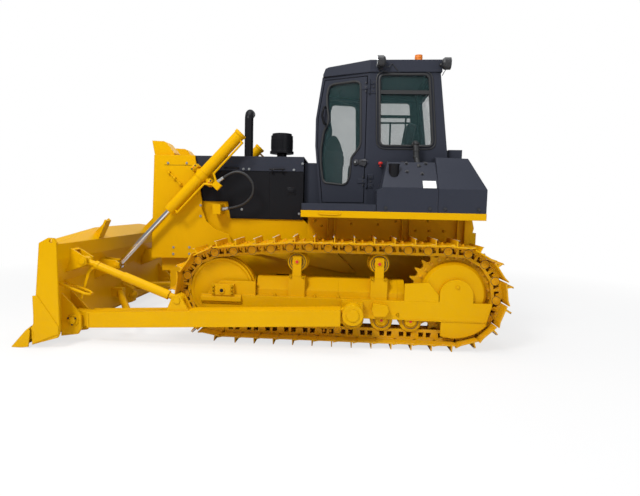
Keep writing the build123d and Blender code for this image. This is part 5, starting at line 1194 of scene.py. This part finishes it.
# %% Rear trim
rear = Shape()
rear.turned((-1.99, 0.45, 1.845), (-0.92, 0, 0.39),
            ((0, 0.058), (0.035, 0.058), (0.037, 0.066), (0.062, 0.066), (0.068, 0.058)), 32)
for y in (0.70, -0.70):
    rear.pipe(((-2.0785, y, 1.50), (-2.0995, y, 1.51), (-2.0995, y, 1.62), (-2.072, y, 1.632)), 0.009, 10)
finish("tank_cap_and_grips", rear, black, bevel=0.0015)
pin = Shape()
pin.turned((-2.49, 0, 0.462), UP,
           ((0, 0.020), (0.006, 0.0245), (0.150, 0.0245), (0.152, 0.036), (0.160, 0.036), (0.164, 0.030)), 24)
finish("drawbar_pin_piece", pin, zinc)
back_bolts = [(-2.0775, y, 1.45) for y in np.arange(-1.05, 1.06, 0.30)]
bolts("tank_bolts", ROUND, facing(back_bolts, (-1, 0, 0), (0, 1, 0)), 0.013, dark_bolt, 0.008)
print("pieces made:", len(made))

# %% [markdown]
# ## Studio
# Soft lamps stand round the machine: a key from the front left, weaker ones behind, beyond and above. The floor
# and the backdrop are white to the camera only, so they don't add light, and the floor keeps the shadow.

# %% Studio
SKY, SKY_STRENGTH = (0.82, 0.86, 0.92, 1), 0.34


def area_lamp(name, place, aim, size, power):
    data = bpy.data.lights.new(name, "AREA")
    data.shape, data.size, data.energy = "SQUARE", size, power
    lamp = new_object(name, data)
    lamp.location = place
    lamp.rotation_euler = (Vector(aim) - Vector(place)).to_track_quat("-Z", "Y").to_euler()


area_lamp("key", (3.5, 7.5, 8.0), (0, 0.5, 0.8), 2.5, 720)
area_lamp("fill", (-5.5, 6.0, 4.0), (0, 0, 1), 6.0, 120)
area_lamp("far", (1.0, -8.0, 6.0), (0, 0, 1), 6.0, 130)
area_lamp("top", (0.0, 1.0, 9.0), (0, 0, 0), 6.0, 400)


def backdrop_world():
    world = bpy.data.worlds.new("backdrop")
    world.use_nodes = True
    tree = world.node_tree
    tree.nodes.clear()
    light, shown, rays, seen, mix, end = (tree.nodes.new("ShaderNode" + kind) for kind in (
        "Background", "Background", "LightPath", "Math", "MixShader", "OutputWorld"))
    light.inputs[0].default_value, light.inputs[1].default_value = SKY, SKY_STRENGTH
    shown.inputs[0].default_value = (1, 1, 1, 1)
    seen.operation = "MAXIMUM"
    for out, into in ((rays.outputs["Is Camera Ray"], seen.inputs[0]),
                      (rays.outputs["Is Transmission Ray"], seen.inputs[1]), (seen.outputs[0], mix.inputs[0]),
                      (light.outputs[0], mix.inputs[1]), (shown.outputs[0], mix.inputs[2]),
                      (mix.outputs[0], end.inputs[0])):
        tree.links.new(out, into)
    scene.world = world


backdrop_world()


def pale_floor():
    mesh = bpy.data.meshes.new("floor")
    mesh.from_pydata([(-60, -60, 0), (60, -60, 0), (60, 60, 0), (-60, 60, 0)], [], [(0, 1, 2, 3)])
    floor = new_object("floor", mesh)
    f = Finish("pale_floor")
    f.set(Base_Color=(0.8, 0.8, 0.8), Roughness=0.9)
    glow = f.tree.nodes.new("ShaderNodeEmission")
    blend = f.tree.nodes.new("ShaderNodeMixShader")
    seen = f.node("ShaderNodeLightPath", {}, {}, out="Is Camera Ray")
    far = f.node("ShaderNodeVectorMath", {"operation": "LENGTH"}, {0: f.place}, out="Value")
    f.put(blend.inputs[0], seen * f.fit(far, 3.0, 8.0, 0.72, 1.0))
    f.tree.links.new(f.shader.outputs[0], blend.inputs[1])
    f.tree.links.new(glow.outputs[0], blend.inputs[2])
    f.tree.links.new(blend.outputs[0], f.output.inputs["Surface"])
    mesh.materials.append(f.material)


pale_floor()
scene.view_settings.view_transform = "Standard"
print("studio ready")
